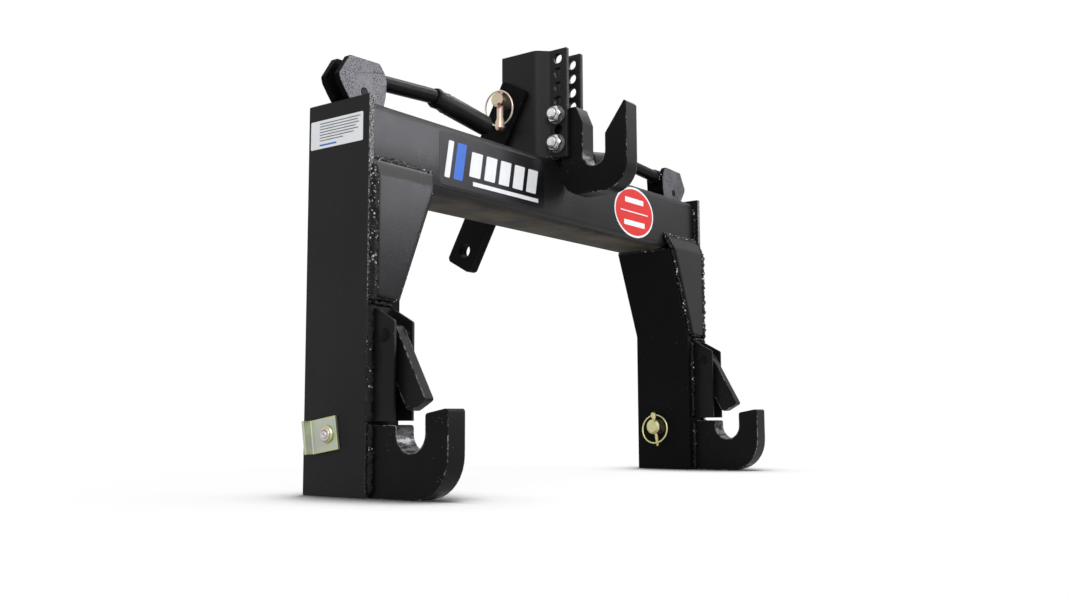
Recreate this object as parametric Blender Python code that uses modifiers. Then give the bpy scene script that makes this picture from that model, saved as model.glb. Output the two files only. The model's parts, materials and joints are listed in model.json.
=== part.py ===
"""Three point quick hitch, category 1 size: an arch of welded steel that hangs on a tractor's links.

Metres. +X is to the right seen from the implement side, +Y is back towards the tractor, +Z is up.
Inside the script Y is counted from the front edges of the side plates and Z from the ground. An empty
then moves the whole hitch so that the middle of its ground plan lies on the origin.
"""

from math import acos, asin, atan, atan2, ceil, cos, hypot, pi, radians, sin, sqrt, tan

import bmesh
import bpy
from mathutils import Matrix, Vector

# Fits
GAP = 0.0003                    # between pieces that touch
RUNNING_GAP = 0.0005            # beside pieces that slide or turn
FACET_SAG = 0.00018             # how far a facet may lie inside the true round
CUT_MARGIN = 0.005              # how far a cutter stands past what it cuts
EDGE_BREAK = 0.0012             # on cut and folded plate
FINE_EDGE_BREAK = 0.0008        # on small plates
PLATE_CORNER = 0.003            # radius of small corners in an outline

# Beam, a square tube
BEAM_SIZE = 0.084
BEAM_WALL = 0.006
BEAM_CORNER = 0.010
BEAM_HEIGHT = 0.330             # ground to underside
BEAM_SETBACK = 0.008            # its face behind the side plates' front edges

# Lower hooks
HOOK_SPACING = 0.683            # centre to centre
HOOK_THICKNESS = 0.0254
HOOK_BACK = 0.0358              # from the front web to the throat
HOOK_THROAT = 0.0385
HOOK_ARM = 0.0295
HOOK_SEAT_HEIGHT = 0.0462
HOOK_BACK_HEIGHT = 0.0735
HOOK_ARM_HEIGHT = 0.0895
HOOK_ARM_SLOPE = 0.0046         # the arm's top drops this much towards the throat
HOOK_ARM_CREST = 0.85           # share of the arm that the slope takes
HOOK_HEEL = 0.045               # radius of the bottom front corner

# Uprights: a side plate, and a folded channel that is open to the back
SIDE_PLATE_THICKNESS = 0.00635
SIDE_PLATE_DEPTH = 0.093
SIDE_PLATE_RISE = 0.004         # above the beam
CHANNEL_WIDTH = 0.0365          # clear width, for the ball of a lower link
CHANNEL_DEPTH = 0.090
CHANNEL_SHEET = 0.005
CHANNEL_BEND_RISE = 0.007       # the wall bends inward this far above the latch bracket
CHANNEL_SPREAD = 0.0535         # how far the wall has leaned in when it meets the beam
GUSSET_THICKNESS = 0.006
GUSSET_INSET = 0.008            # its edge beside the wall's inner face
GUSSET_LEAN = radians(24)       # of the flange that leans back to the beam's face
GUSSET_BEND = 0.002             # inner radius
GUSSET_BEND_RISE = 0.001        # the bend's height over the beam's underside
GUSSET_RISE = 0.001             # its lower end over the wall's bend
GUSSET_EDGE = 0.001             # its outer edge inside the side plate

# Latches and their brackets
BRACKET_WIDTH = 0.0294
BRACKET_DEPTH = 0.0337
BRACKET_SHEET = 0.003
BRACKET_CLEARANCE = 0.004       # over the hook
BRACKET_RISE = 0.032            # its top at the web over the latch's pivot
BRACKET_TOP_DROP = 0.018        # the slope of its top, web to front
LATCH_THICKNESS = 0.0127
LATCH_FRONT = 0.012             # pivot to front edge
LATCH_LENGTH = 0.082            # pivot to nose
LATCH_PIVOT_SETOUT = 0.019      # pivot in front of the web
LATCH_PIVOT_RISE = 0.0905       # over the hook's back
LATCH_SWING = radians(29)
LATCH_TAIL_RADIUS = 0.0085
LATCH_NOSE = 0.007              # radius of its lower back corner
LATCH_PIN_RADIUS = 0.005
LATCH_PIN_HEAD = 0.007
LATCH_PIN_CROWN = 0.0032        # height of its round head
LATCH_PIN_UPSET = 0.006         # radius of its riveted end
LATCH_PIN_UPSET_HEIGHT = 0.0018
TAIL_PIN_RADIUS = 0.004
TAIL_PIN_HEAD = 0.006
TAIL_PIN_HEAD_HEIGHT = 0.003
TAIL_PIN_OVERHANG = 0.001       # past the pull rod
SPACER_RADIUS = 0.009

# Cam handles
CAM_PIVOT_RISE = 0.016          # pivot above the beam
CAM_INSET = 0.0045              # pivot nearer the middle than the hooks
CAM_SETBACK = 0.0473            # middle of the pair behind the side plates' front edges
CAM_THICKNESS = 0.008
CAM_PITCH = 0.0206
CAM_PIN_RADIUS = 0.005
CAM_LIFT = 0.026
CAM_NOSE = (0.037, 0.0125)      # corners of the cam, outward and up from the pivot
CAM_BROW = (0.022, 0.036)
CAM_CROWN = (-0.023, 0.0375)
CAM_SHOULDER = (-0.030, 0.029)
CAM_BACK = (-0.034, 0.0195)
CAM_HEEL = (-0.0325, 0.002)
CAM_FOOT_START = -0.028
CAM_STEP_END = 0.022
CAM_CHIN = (0.0285, -0.003)
CAM_JAW = (0.035, 0.006)
CAM_STEP_CLEARANCE = 0.0008     # over the side plate, and twice as much beside it
HANDLE_RADIUS = 0.009
HANDLE_START = (0.0350, 0.0225) # inward and up from the pivot, as are the next two
HANDLE_BEND = (0.122, 0.028)
HANDLE_END = (0.224, 0.013)
HANDLE_BEND_RADIUS = 0.030
TANG_START = 0.015
TANG_OVERLAP = 0.003            # into the round rod
TANG_DROP = 0.001               # the tang's middle under the rod's
TANG_CORNER = 0.004
GRIP_RADIUS = 0.0125
GRIP_CAP = 0.003
GRIP_CHAMFER = 0.002

# Pull rods and their springs
PULL_ROD_RADIUS = 0.005
PULL_ROD_EYE_WALL = 0.005
PULL_ROD_FLAT = 0.009           # thickness of the flattened lower eye
PULL_ROD_BENDS = (0.808, 0.335) # heights of its two bends, as shares of the way from tail pin to collar
PULL_ROD_BEND_RADIUS = 0.03
COLLAR_RADIUS = 0.0105
COLLAR_THICKNESS = 0.004
SPRING_LENGTH = 0.058
SPRING_WIRE = 0.0013
SPRING_RADIUS = 0.0082
SPRING_TURNS = 6
SPRING_STEPS = 8                # facets in one turn

# Mast: two joggled plates that carry the top hook and the top link pin
MAST_THICKNESS = 0.00635
MAST_FRONT = 0.011              # in front of the side plates' front edges
MAST_BACK = 0.0855
MAST_BEND = 0.002               # inner radius of the joggle
MAST_RIM = 0.013                # above the top hole
MAST_STRIP = 0.0185             # the flat strip ends here, and the joggle begins
MAST_HOLE_RADIUS = 0.00665
MAST_HOLE_SETBACK = 0.003
MAST_HOLES = 7
MAST_HOLE_PITCH = 0.01905
MAST_FIRST_HOLE = 0.0187        # lowest hole over the beam
TOP_LINK_WIDTH = 0.0533         # between the plates, for a top link
TOP_PIN_RADIUS = 0.0095
TOP_PIN_SETBACK = 0.0695
TOP_PIN_RISE = 0.0795           # over the beam
TOP_PIN_END = 0.066
TOP_PIN_HEAD_RADIUS = 0.015
TOP_PIN_HEAD_HEIGHT = 0.006
TOP_PIN_HEAD_CHAMFER = 0.0015
TOP_PIN_POINT = (0.002, 0.003)  # chamfer of its free end, across and along

# Top hook and its bolts
TOP_HOOK_THICKNESS = 0.0254
TOP_HOOK_BACK = 0.0165
TOP_HOOK_HEEL = 0.002
TOP_HOOK_RIM = 0.0092           # above the upper bolt
TOP_HOOK_THROAT_BACK = 0.0308
TOP_HOOK_THROAT = 0.0340
TOP_HOOK_LEAD = (0.010, 0.023)  # slope that leads into the throat, across and down
TOP_HOOK_SEAT_DROP = 0.015      # throat's bottom corners under the top of the beam
TOP_HOOK_SOLE = 0.035           # height of the solid plate under them
TOP_HOOK_ARM = 0.0322
TOP_HOOK_ARM_DROP = 0.042       # the arm's top slopes down this far to the throat
TOP_HOOK_TIP_DROP = 0.0035      # and this far to the tip
TOP_HOOK_TOE_RADIUS = 0.034
TOP_HOOK_HEEL_RADIUS = 0.026
BOLT_RADIUS = 0.00635
BOLT_CHAMFER = 0.001
BOLT_HOLES_USED = (2, 0)        # upper and lower bolt, counted from the lowest hole, which is 0
NUT_WIDTH = 0.019
NUT_HEIGHT = 0.011
BOLT_HEAD_HEIGHT = 0.008
NUT_CHAMFER = 0.6               # slope of the turned corners
NUT_COLLAR = 0.003              # the round end of a lock nut
NUT_COLLAR_RADIUS = 0.0088
WASHER_RADIUS = 0.012
WASHER_THICKNESS = 0.0022
BOLT_OVERHANG = 0.003

# Drop link, a fork of two joggled bars on the top link pin
LINK_BAR_THICKNESS = 0.008
LINK_BAR_WIDTH = 0.0445
LINK_HOLE_SPACING = 0.210
LINK_END = 0.0245
LINK_END_CHAMFER = 0.004
LINK_JOGGLE_START = 0.096
LINK_JOGGLE_END = 0.136
LINK_BEND = 0.004               # inner radius of the joggle
LINK_HOLE_RADIUS = 0.0098

# Lower hitch pins
HITCH_PIN_RADIUS = 0.0111
HITCH_PIN_SETBACK = 0.053
HITCH_PIN_HEIGHT = 0.064
HITCH_PIN_OVERHANG = 0.020      # past the channel's wall
HITCH_PIN_BOSS = 0.009          # radius of the end that is welded into the flag
HITCH_PIN_BOSS_HEIGHT = 0.003   # over the flag
HITCH_PIN_CHAMFER = 0.003
FLAG_SHEET = 0.003
FLAG_HEIGHT = 0.035
FLAG_FRONT = 0.0136             # pin centre to front edge
FLAG_BACK = 0.0264              # pin centre to the bent grip
FLAG_GRIP = 0.013
FLAG_TURN = radians(9)
FLAG_BEND = 0.004
FLAG_EDGE_BREAK = 0.0005

# Linch pins. Radii of stem, head and wire, the head's neck, how far the head stands off the pin and the tip
# stands past it, and the room between the pin and the ring's far side.
LOWER_LINCHPIN = {"stem": 0.0026, "head": 0.0045, "wire": 0.0013,
                  "neck": 0.0058, "standoff": GAP, "past": 0.0179, "room": 0.0128}
TOP_LINCHPIN = {"stem": 0.0047, "head": 0.0068, "wire": 0.0014,
                "neck": 0.0090, "standoff": 0.0145, "past": 0.0045, "room": 0.0011}
LINCHPIN_SETBACK = 0.010        # from the end of the pin that it locks
LINCHPIN_SLANT = radians(8)
LINCHPIN_POINT = 0.004          # length of its tapered tip
RING_STEPS = 22
RING_PLAY = 0.0008              # round the ring's wire in the head
RING_SAG = 0.2                  # share of the wire's radius by which the ring sits high in the bore

# Sizes that follow from those above
BEAM_TOP = BEAM_HEIGHT + BEAM_SIZE
BEAM_BACK = BEAM_SETBACK + BEAM_SIZE
HOOK_X = HOOK_SPACING / 2
LATCH_PIVOT_HEIGHT = HOOK_BACK_HEIGHT + LATCH_PIVOT_RISE
BRACKET_TOP = LATCH_PIVOT_HEIGHT + BRACKET_RISE
CHANNEL_BEND_HEIGHT = BRACKET_TOP + CHANNEL_BEND_RISE
SIDE_INNER_X = HOOK_X + HOOK_THICKNESS / 2 + GAP
SIDE_OUTER_X = SIDE_INNER_X + SIDE_PLATE_THICKNESS
WALL_X = SIDE_INNER_X - CHANNEL_WIDTH - CHANNEL_SHEET
WALL_LEAN = atan(CHANNEL_SPREAD / (BEAM_HEIGHT - CHANNEL_BEND_HEIGHT))
HOOK_FRONT = HOOK_BACK + HOOK_THROAT + HOOK_ARM
CAM_X = HOOK_X - CAM_INSET
CAM_PIVOT_HEIGHT = BEAM_TOP + CAM_PIVOT_RISE
EYE_THICKNESS = CAM_PITCH - CAM_THICKNESS - 2 * GAP
TAIL_REACH = (CAM_LIFT / 2) / sin(LATCH_SWING / 2)
TAIL_DRIFT = TAIL_REACH * (1 - cos(LATCH_SWING / 2))
TAIL_PIN_Y = TAIL_REACH * cos(LATCH_SWING / 2) - LATCH_PIVOT_SETOUT
TAIL_PIN_Z = LATCH_PIVOT_HEIGHT - CAM_LIFT / 2
PULL_ROD_FOOT_X = HOOK_X - LATCH_THICKNESS / 2 - RUNNING_GAP - PULL_ROD_RADIUS
STRIP_X = TOP_HOOK_THICKNESS / 2 + GAP
MAST_OUTER_X = TOP_LINK_WIDTH / 2 + MAST_THICKNESS
MAST_TOP = BEAM_TOP + MAST_FIRST_HOLE + (MAST_HOLES - 1) * MAST_HOLE_PITCH + MAST_RIM
TOP_PIN_HEIGHT = BEAM_TOP + TOP_PIN_RISE
HITCH_PIN_INNER_X = WALL_X - HITCH_PIN_OVERHANG
LINK_BAR_X = MAST_OUTER_X + GAP


def link_lean():
    """Angle from the vertical at which the bars lie against the beam's rounded back corner."""
    run = BEAM_BACK - BEAM_CORNER - TOP_PIN_SETBACK
    drop = TOP_PIN_HEIGHT - (BEAM_TOP - BEAM_CORNER)
    reach = LINK_BAR_WIDTH / 2 + GAP + BEAM_CORNER
    return asin(reach / hypot(run, drop)) + atan(run / drop)


LINK_LEAN = link_lean()
LINK_LENGTH = LINK_HOLE_SPACING + LINK_END
REAR_Y = (TOP_PIN_SETBACK + (LINK_LENGTH - LINK_END_CHAMFER) * sin(LINK_LEAN)
          + LINK_BAR_WIDTH / 2 * cos(LINK_LEAN))
MIDDLE_Y = (REAR_Y - HOOK_FRONT) / 2

# Planes that an outline can be drawn in. Each turns a flat shape and its thickness into place.
SIDE_VIEW = Matrix(((0, 0, 1, 0), (1, 0, 0, 0), (0, 1, 0, 0), (0, 0, 0, 1)))     # (y, z), thick in X
FRONT_VIEW = Matrix(((1, 0, 0, 0), (0, 0, -1, 0), (0, 1, 0, 0), (0, 0, 0, 1)))   # (x, z), thick in Y
PLAN_VIEW = Matrix.Identity(4)                                                   # (x, y), thick in Z


def clear_scene():
    for obj in list(bpy.data.objects):
        bpy.data.objects.remove(obj)


def collection(name):
    group = bpy.data.collections.new(name)
    bpy.context.scene.collection.children.link(group)
    return group


def finish(name, color, roughness, metallic):
    material = bpy.data.materials.new(name)
    material.use_nodes = True
    shader = material.node_tree.nodes["Principled BSDF"]
    shader.inputs["Base Color"].default_value = (*color, 1)
    shader.inputs["Roughness"].default_value = roughness
    shader.inputs["Metallic"].default_value = metallic
    return material


PAINT = ((0.012, 0.012, 0.013), 0.35, 0.0)
RUBBER = ((0.010, 0.010, 0.010), 0.60, 0.0)
YELLOW_ZINC = ((0.66, 0.60, 0.34), 0.30, 0.9)
BRIGHT_ZINC = ((0.72, 0.73, 0.75), 0.25, 0.9)
SPRING_STEEL = ((0.30, 0.30, 0.31), 0.35, 0.9)


def facets(radius):
    """How many facets a full circle of the radius needs, in fours."""
    return 4 * ceil(pi / acos(1 - FACET_SAG / radius) / 4)


def arc(centre, radius, start, end):
    """Points along an arc, both ends included."""
    step = 2 * acos(1 - FACET_SAG / radius)
    steps = max(2, ceil(abs(end - start) / step))
    angles = [start + (end - start) * index / steps for index in range(steps + 1)]
    return [(centre[0] + radius * cos(a), centre[1] + radius * sin(a)) for a in angles]


def rounded(corners):
    """Closed outline through corners of (a, b, radius), with an arc where the radius isn't 0."""
    outline = []
    for index, (a, b, radius) in enumerate(corners):
        here = Vector((a, b))
        if radius == 0:
            outline.append((a, b))
            continue
        before = (Vector(corners[index - 1][:2]) - here).normalized()
        after = (Vector(corners[(index + 1) % len(corners)][:2]) - here).normalized()
        half = before.angle(after) / 2
        centre = here + (before + after).normalized() * radius / sin(half)
        first = here + before * radius / tan(half) - centre
        last = here + after * radius / tan(half) - centre
        start = atan2(first.y, first.x)
        turn = (atan2(last.y, last.x) - start + pi) % (2 * pi) - pi
        outline += arc(centre, radius, start, start + turn)
    return outline


def strip(path, thickness):
    """Closed outline of a bent sheet: the path is one face, and the sheet lies to its left."""
    other = []
    for index, here in enumerate(path):
        before = Vector(here) - Vector(path[max(index - 1, 0)])
        after = Vector(path[min(index + 1, len(path) - 1)]) - Vector(here)
        before = before if before.length else after
        after = after if after.length else before
        along = (before.normalized() + after.normalized()).normalized()
        spread = thickness / along.dot(after.normalized())
        other.append((here[0] - along.y * spread, here[1] + along.x * spread))
    return list(path) + other[::-1]


def bent_path(points, radius):
    """Open path with an arc of the radius at each inner point."""
    first, *inner, last = points
    corners = [(*first, 0)] + [(*point, radius) for point in inner] + [(*last, 0)]
    return rounded(corners)


def mirrored(points, side):
    return [(side * point[0], *point[1:]) for point in points]


def slot_outline(radius, travel):
    """Outline of a slot along the first axis, for a pin that drifts by the travel."""
    half = travel / 2
    return arc((half, 0), radius, -pi / 2, pi / 2) + arc((-half, 0), radius, pi / 2, 3 * pi / 2)


def sleeve(outer, inner, length):
    """Closed profile of a ring or bush along Z, its middle at the origin."""
    half = length / 2
    return [(outer, half), (outer, -half), (inner, -half), (inner, half), (outer, half)]


def mesh_of(obj):
    """Mesh of an object with its curve or its modifiers worked out, and its seams welded."""
    bpy.context.scene.collection.objects.link(obj)
    bpy.context.view_layer.update()
    evaluated = obj.evaluated_get(bpy.context.evaluated_depsgraph_get())
    mesh = bpy.data.meshes.new_from_object(evaluated)
    bpy.data.objects.remove(obj)
    shape = bmesh.new()
    shape.from_mesh(mesh)
    bmesh.ops.remove_doubles(shape, verts=shape.verts, dist=0.000002)
    bmesh.ops.recalc_face_normals(shape, faces=shape.faces)
    shape.to_mesh(mesh)
    shape.free()
    mesh.materials.clear()
    return mesh


def plate(outline, thickness, view, holes=()):
    """Flat plate, its middle plane in the view's plane."""
    curve = bpy.data.curves.new("outline", "CURVE")
    curve.dimensions = "2D"
    curve.fill_mode = "BOTH"
    curve.extrude = thickness / 2
    for loop in (outline, *holes):
        points = [p for p, q in zip(loop, [loop[-1], *loop]) if hypot(p[0] - q[0], p[1] - q[1]) > 1e-6]
        spline = curve.splines.new("POLY")
        spline.points.add(len(points) - 1)
        for point, (a, b) in zip(spline.points, points):
            point.co = (a, b, 0, 1)
        spline.use_cyclic_u = True
    mesh = mesh_of(bpy.data.objects.new("outline", curve))
    mesh.transform(view)
    return mesh


def rod(points, radius):
    """Round rod along a path of points, with flat ends."""
    curve = bpy.data.curves.new("path", "CURVE")
    curve.dimensions = "3D"
    curve.bevel_depth = radius
    curve.bevel_resolution = facets(radius) // 2 - 2
    curve.use_fill_caps = True
    spline = curve.splines.new("POLY")
    spline.points.add(len(points) - 1)
    for point, place in zip(spline.points, points):
        point.co = (*place, 1)
    return mesh_of(bpy.data.objects.new("path", curve))


def turned(profile):
    """Solid turned round Z from a profile of (radius, z), listed from the top down its outer side."""
    steps = facets(max(radius for radius, _ in profile))
    mesh = bpy.data.meshes.new("profile")
    lines = [(index, index + 1) for index in range(len(profile) - 1)]
    mesh.from_pydata([(radius, 0, z) for radius, z in profile], lines, [])
    obj = bpy.data.objects.new("profile", mesh)
    screw = obj.modifiers.new("turn", "SCREW")
    screw.steps = steps
    screw.render_steps = steps
    screw.use_merge_vertices = True
    screw.merge_threshold = 0.00001
    return mesh_of(obj)


def cylinder(radius, length, sides=None):
    """Plain cylinder or prism along Z, its middle at the origin."""
    sides = sides or facets(radius)
    shape = bmesh.new()
    bmesh.ops.create_cone(shape, cap_ends=True, segments=sides, radius1=radius, radius2=radius, depth=length)
    mesh = bpy.data.meshes.new("cylinder")
    shape.to_mesh(mesh)
    shape.free()
    return mesh


def block(width, depth, height):
    shape = bmesh.new()
    bmesh.ops.create_cube(shape, size=1)
    bmesh.ops.scale(shape, vec=(width, depth, height), verts=shape.verts)
    mesh = bpy.data.meshes.new("block")
    shape.to_mesh(mesh)
    shape.free()
    return mesh


def chamfered_pin(radius, length, chamfer):
    """Profile of a pin along Z with both ends chamfered, its middle at the origin."""
    half = length / 2
    return [(0, half), (radius - chamfer, half), (radius, half - chamfer),
            (radius, chamfer - half), (radius - chamfer, -half), (0, -half)]


ALONG_X = (0, pi / 2, 0)        # turns a shape made along Z to lie along X
ALONG_Y = (-pi / 2, 0, 0)       # and along Y


class Workshop:
    """Keeps the collections and the empty, and places pieces and cutters in them."""

    def __init__(self):
        self.parts = collection("three_point_quick_hitch")
        self.cutters = collection("cutters")
        self.frame = bpy.data.objects.new("hitch_frame", None)
        self.frame.location = (0, -MIDDLE_Y, 0)
        self.parts.objects.link(self.frame)

    def place(self, obj, group, place, turn, carrier):
        obj.location = place
        obj.rotation_euler = turn
        obj.parent = carrier or self.frame
        group.objects.link(obj)
        return obj

    def pivot(self, name, place, turn=(0, 0, 0), carrier=None):
        """Empty on a joint's axis, which carries the pieces that move there."""
        return self.place(bpy.data.objects.new(name, None), self.parts, place, turn, carrier)

    def piece(self, name, mesh, look, place=(0, 0, 0), turn=(0, 0, 0), carrier=None):
        obj = bpy.data.objects.new(name, mesh.copy())
        obj.data.materials.append(finish(name + "_finish", *look))
        obj.data.shade_smooth()
        obj.data.set_sharp_from_angle(angle=radians(32))
        return self.place(obj, self.parts, place, turn, carrier)

    def tool(self, mesh, place=(0, 0, 0), turn=(0, 0, 0), carrier=None):
        """Solid that cuts or joins a piece."""
        obj = bpy.data.objects.new("cutter", mesh.copy())
        obj.hide_render = True
        obj.display_type = "WIRE"
        return self.place(obj, self.cutters, place, turn, carrier)


def combine(obj, tool, operation):
    boolean = obj.modifiers.new(operation.lower(), "BOOLEAN")
    boolean.operation = operation
    boolean.solver = "EXACT"
    boolean.object = tool


def soften(obj, width, segments=1):
    """Breaks the sharp edges of a piece."""
    bevel = obj.modifiers.new("edges", "BEVEL")
    bevel.width = width
    bevel.segments = segments
    bevel.limit_method = "ANGLE"
    bevel.angle_limit = radians(40)


def build_beam(shop):
    middle = (BEAM_SETBACK + BEAM_SIZE / 2, BEAM_HEIGHT + BEAM_SIZE / 2)

    def square(size, radius):
        half = size / 2
        signs = ((1, 1), (-1, 1), (-1, -1), (1, -1))
        return rounded([(middle[0] + a * half, middle[1] + b * half, radius) for a, b in signs])

    outer = square(BEAM_SIZE, BEAM_CORNER)
    inner = square(BEAM_SIZE - 2 * BEAM_WALL, BEAM_CORNER - BEAM_WALL)
    length = 2 * (SIDE_INNER_X - GAP)
    beam = shop.piece("beam_tube", plate(outer, length, SIDE_VIEW, [inner]), PAINT)
    drill = cylinder(PULL_ROD_RADIUS + 2 * RUNNING_GAP, 1.5 * BEAM_SIZE)
    for side in (-1, 1):
        combine(beam, shop.tool(drill, (side * CAM_X, CAM_SETBACK, middle[1])), "DIFFERENCE")


def build_side_plate(shop, name, side):
    height = BEAM_TOP + SIDE_PLATE_RISE
    outline = [(0, 0), (SIDE_PLATE_DEPTH, 0), (SIDE_PLATE_DEPTH, height), (0, height)]
    middle = (SIDE_INNER_X + SIDE_OUTER_X) / 2
    side_plate = shop.piece(f"{name}_side_plate", plate(outline, SIDE_PLATE_THICKNESS, SIDE_VIEW),
                            PAINT, (side * middle, 0, 0))
    soften(side_plate, FINE_EDGE_BREAK)
    drill = cylinder(HITCH_PIN_RADIUS + GAP, 3 * SIDE_PLATE_THICKNESS)
    place = (side * middle, HITCH_PIN_SETBACK, HITCH_PIN_HEIGHT)
    combine(side_plate, shop.tool(drill, place, ALONG_X), "DIFFERENCE")


def wall_x(height, inset=0.0):
    """Distance from the middle of the hitch to the inner face of the channel's wall, at a height."""
    lean = max(0, height - CHANNEL_BEND_HEIGHT) * tan(WALL_LEAN)
    return WALL_X - lean + inset


def tail_slot(shop, side):
    """Cutter for the slot through which a latch's tail reaches the pull rod."""
    reach = LATCH_PIVOT_SETOUT + CHANNEL_SHEET
    half_height = reach * tan(LATCH_SWING / 2) + LATCH_FRONT / cos(LATCH_SWING / 2) + 2 * RUNNING_GAP
    width = LATCH_THICKNESS + 4 * RUNNING_GAP
    depth = 2 * (CHANNEL_SHEET + BRACKET_SHEET + CUT_MARGIN)
    slot = block(width, depth, 2 * half_height)
    return shop.tool(slot, (side * HOOK_X, 0, LATCH_PIVOT_HEIGHT))


def build_channel(shop, name, side):
    """Front web and inner wall, folded from one sheet: the full block less the space inside the fold."""
    top = BEAM_HEIGHT - GAP
    sheet = CHANNEL_SHEET
    edge = SIDE_INNER_X - GAP
    outline = [(WALL_X, 0), (edge, 0), (edge, top), (wall_x(top), top), (WALL_X, CHANNEL_BEND_HEIGHT)]
    channel = shop.piece(f"{name}_channel", plate(mirrored(outline, side), CHANNEL_DEPTH, FRONT_VIEW),
                         PAINT, (0, CHANNEL_DEPTH / 2, 0))
    above = top + CUT_MARGIN
    pocket = [(WALL_X + sheet, -CUT_MARGIN), (edge + CUT_MARGIN, -CUT_MARGIN), (edge + CUT_MARGIN, above),
              (wall_x(above, sheet / cos(WALL_LEAN)), above),
              (WALL_X + sheet, CHANNEL_BEND_HEIGHT + sheet * tan(WALL_LEAN / 2))]
    space = plate(mirrored(pocket, side), CHANNEL_DEPTH, FRONT_VIEW)
    combine(channel, shop.tool(space, (0, sheet + CHANNEL_DEPTH / 2, 0)), "DIFFERENCE")
    soften(channel, EDGE_BREAK)
    drill = cylinder(HITCH_PIN_RADIUS + GAP, 3 * sheet)
    place = (side * (WALL_X + sheet / 2), HITCH_PIN_SETBACK, HITCH_PIN_HEIGHT)
    combine(channel, shop.tool(drill, place, ALONG_X), "DIFFERENCE")
    combine(channel, tail_slot(shop, side), "DIFFERENCE")


def build_gusset(shop, name, side):
    """Plate over the upper web, bent back to the beam's face and tapered with the wall."""
    bottom = CHANNEL_BEND_HEIGHT + GUSSET_RISE
    bend = BEAM_HEIGHT + GUSSET_BEND_RISE
    face = GUSSET_THICKNESS + GAP
    run = BEAM_SETBACK - GAP + face - GUSSET_THICKNESS * cos(GUSSET_LEAN)
    flange = run / tan(GUSSET_LEAN)
    path = bent_path([(-face, bottom), (-face, bend), (run - face, bend + flange)],
                     GUSSET_THICKNESS + GUSSET_BEND)
    profile = strip(path[::-1], GUSSET_THICKNESS)
    top = bend + 2 * flange
    width = SIDE_INNER_X - GAP
    gusset = shop.piece(f"{name}_gusset", plate(profile, width, SIDE_VIEW), PAINT, (side * width / 2, 0, 0))
    edge = SIDE_INNER_X - GUSSET_EDGE
    taper = [(edge, bottom - CUT_MARGIN), (edge, top), (wall_x(top, GUSSET_INSET), top),
             (wall_x(bottom, GUSSET_INSET), bottom), (wall_x(bottom, GUSSET_INSET), bottom - CUT_MARGIN)]
    depth = 2 * (BEAM_SETBACK + GUSSET_THICKNESS + CUT_MARGIN)
    combine(gusset, shop.tool(plate(mirrored(taper, side), depth, FRONT_VIEW)), "INTERSECT")
    soften(gusset, EDGE_BREAK)


def build_hook(shop, name, side):
    throat_back = -HOOK_BACK
    throat_front = throat_back - HOOK_THROAT
    half = HOOK_THROAT / 2
    outline = rounded([
        (-GAP, 0, 0),
        (-GAP, HOOK_BACK_HEIGHT, 0),
        (throat_back, HOOK_BACK_HEIGHT, PLATE_CORNER),
        (throat_back, HOOK_SEAT_HEIGHT, half),
        (throat_front, HOOK_SEAT_HEIGHT, half),
        (throat_front, HOOK_ARM_HEIGHT - HOOK_ARM_SLOPE, PLATE_CORNER),
        (throat_front - HOOK_ARM_CREST * HOOK_ARM, HOOK_ARM_HEIGHT, PLATE_CORNER),
        (-HOOK_FRONT, HOOK_ARM_HEIGHT, PLATE_CORNER),
        (-HOOK_FRONT, 0, HOOK_HEEL),
    ])
    hook = shop.piece(f"{name}_hook", plate(outline, HOOK_THICKNESS, SIDE_VIEW), PAINT, (side * HOOK_X, 0, 0))
    soften(hook, EDGE_BREAK)


def build_bracket(shop, name, side):
    """Folded U that carries the latch, open to the front."""
    half = BRACKET_WIDTH / 2 - BRACKET_SHEET
    back = -GAP - BRACKET_SHEET
    front = -BRACKET_DEPTH - CUT_MARGIN
    path = bent_path([(half, front), (half, back), (-half, back), (-half, front)], BRACKET_SHEET / 2)
    bottom = HOOK_BACK_HEIGHT + BRACKET_CLEARANCE
    height = BRACKET_TOP - bottom
    sheet = plate(strip(path[::-1], BRACKET_SHEET), height, PLAN_VIEW)
    bracket = shop.piece(f"{name}_latch_bracket", sheet, PAINT, (side * HOOK_X, 0, bottom + height / 2))
    slope = BRACKET_TOP_DROP / BRACKET_DEPTH
    cheek = rounded([(CUT_MARGIN, bottom - CUT_MARGIN, 0), (CUT_MARGIN, BRACKET_TOP + slope * CUT_MARGIN, 0),
                     (-BRACKET_DEPTH, BRACKET_TOP - BRACKET_TOP_DROP, PLATE_CORNER),
                     (-BRACKET_DEPTH, bottom - CUT_MARGIN, 0)])
    combine(bracket, shop.tool(plate(cheek, 2 * BRACKET_WIDTH, SIDE_VIEW), (side * HOOK_X, 0, 0)), "INTERSECT")
    drill = cylinder(LATCH_PIN_RADIUS + GAP, 2 * BRACKET_WIDTH)
    place = (side * HOOK_X, -LATCH_PIVOT_SETOUT, LATCH_PIVOT_HEIGHT)
    combine(bracket, shop.tool(drill, place, ALONG_X), "DIFFERENCE")
    combine(bracket, tail_slot(shop, side), "DIFFERENCE")


def latch_outline():
    """The latch seen from the side with its edge upright, which is how it stands when open."""
    tail_angle = LATCH_SWING / 2
    tail = (TAIL_REACH * cos(tail_angle), TAIL_REACH * sin(tail_angle))
    spread = acos((LATCH_FRONT - LATCH_TAIL_RADIUS) / TAIL_REACH)
    upper, lower = tail_angle + spread, tail_angle - spread
    back = LATCH_PIVOT_SETOUT - GAP - BRACKET_SHEET - RUNNING_GAP
    crotch = (back * cos(lower) - LATCH_FRONT) / -sin(lower)
    nose = rounded([(back, crotch, PLATE_CORNER), (back, -LATCH_LENGTH, LATCH_NOSE),
                    (-LATCH_FRONT, -LATCH_LENGTH, PLATE_CORNER), (-LATCH_FRONT, 0, 0),
                    (tail[0] - LATCH_TAIL_RADIUS, 0, 0)])[:-1]
    return nose + arc((0, 0), LATCH_FRONT, pi, upper)[1:] + arc(tail, LATCH_TAIL_RADIUS, upper, lower)


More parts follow.
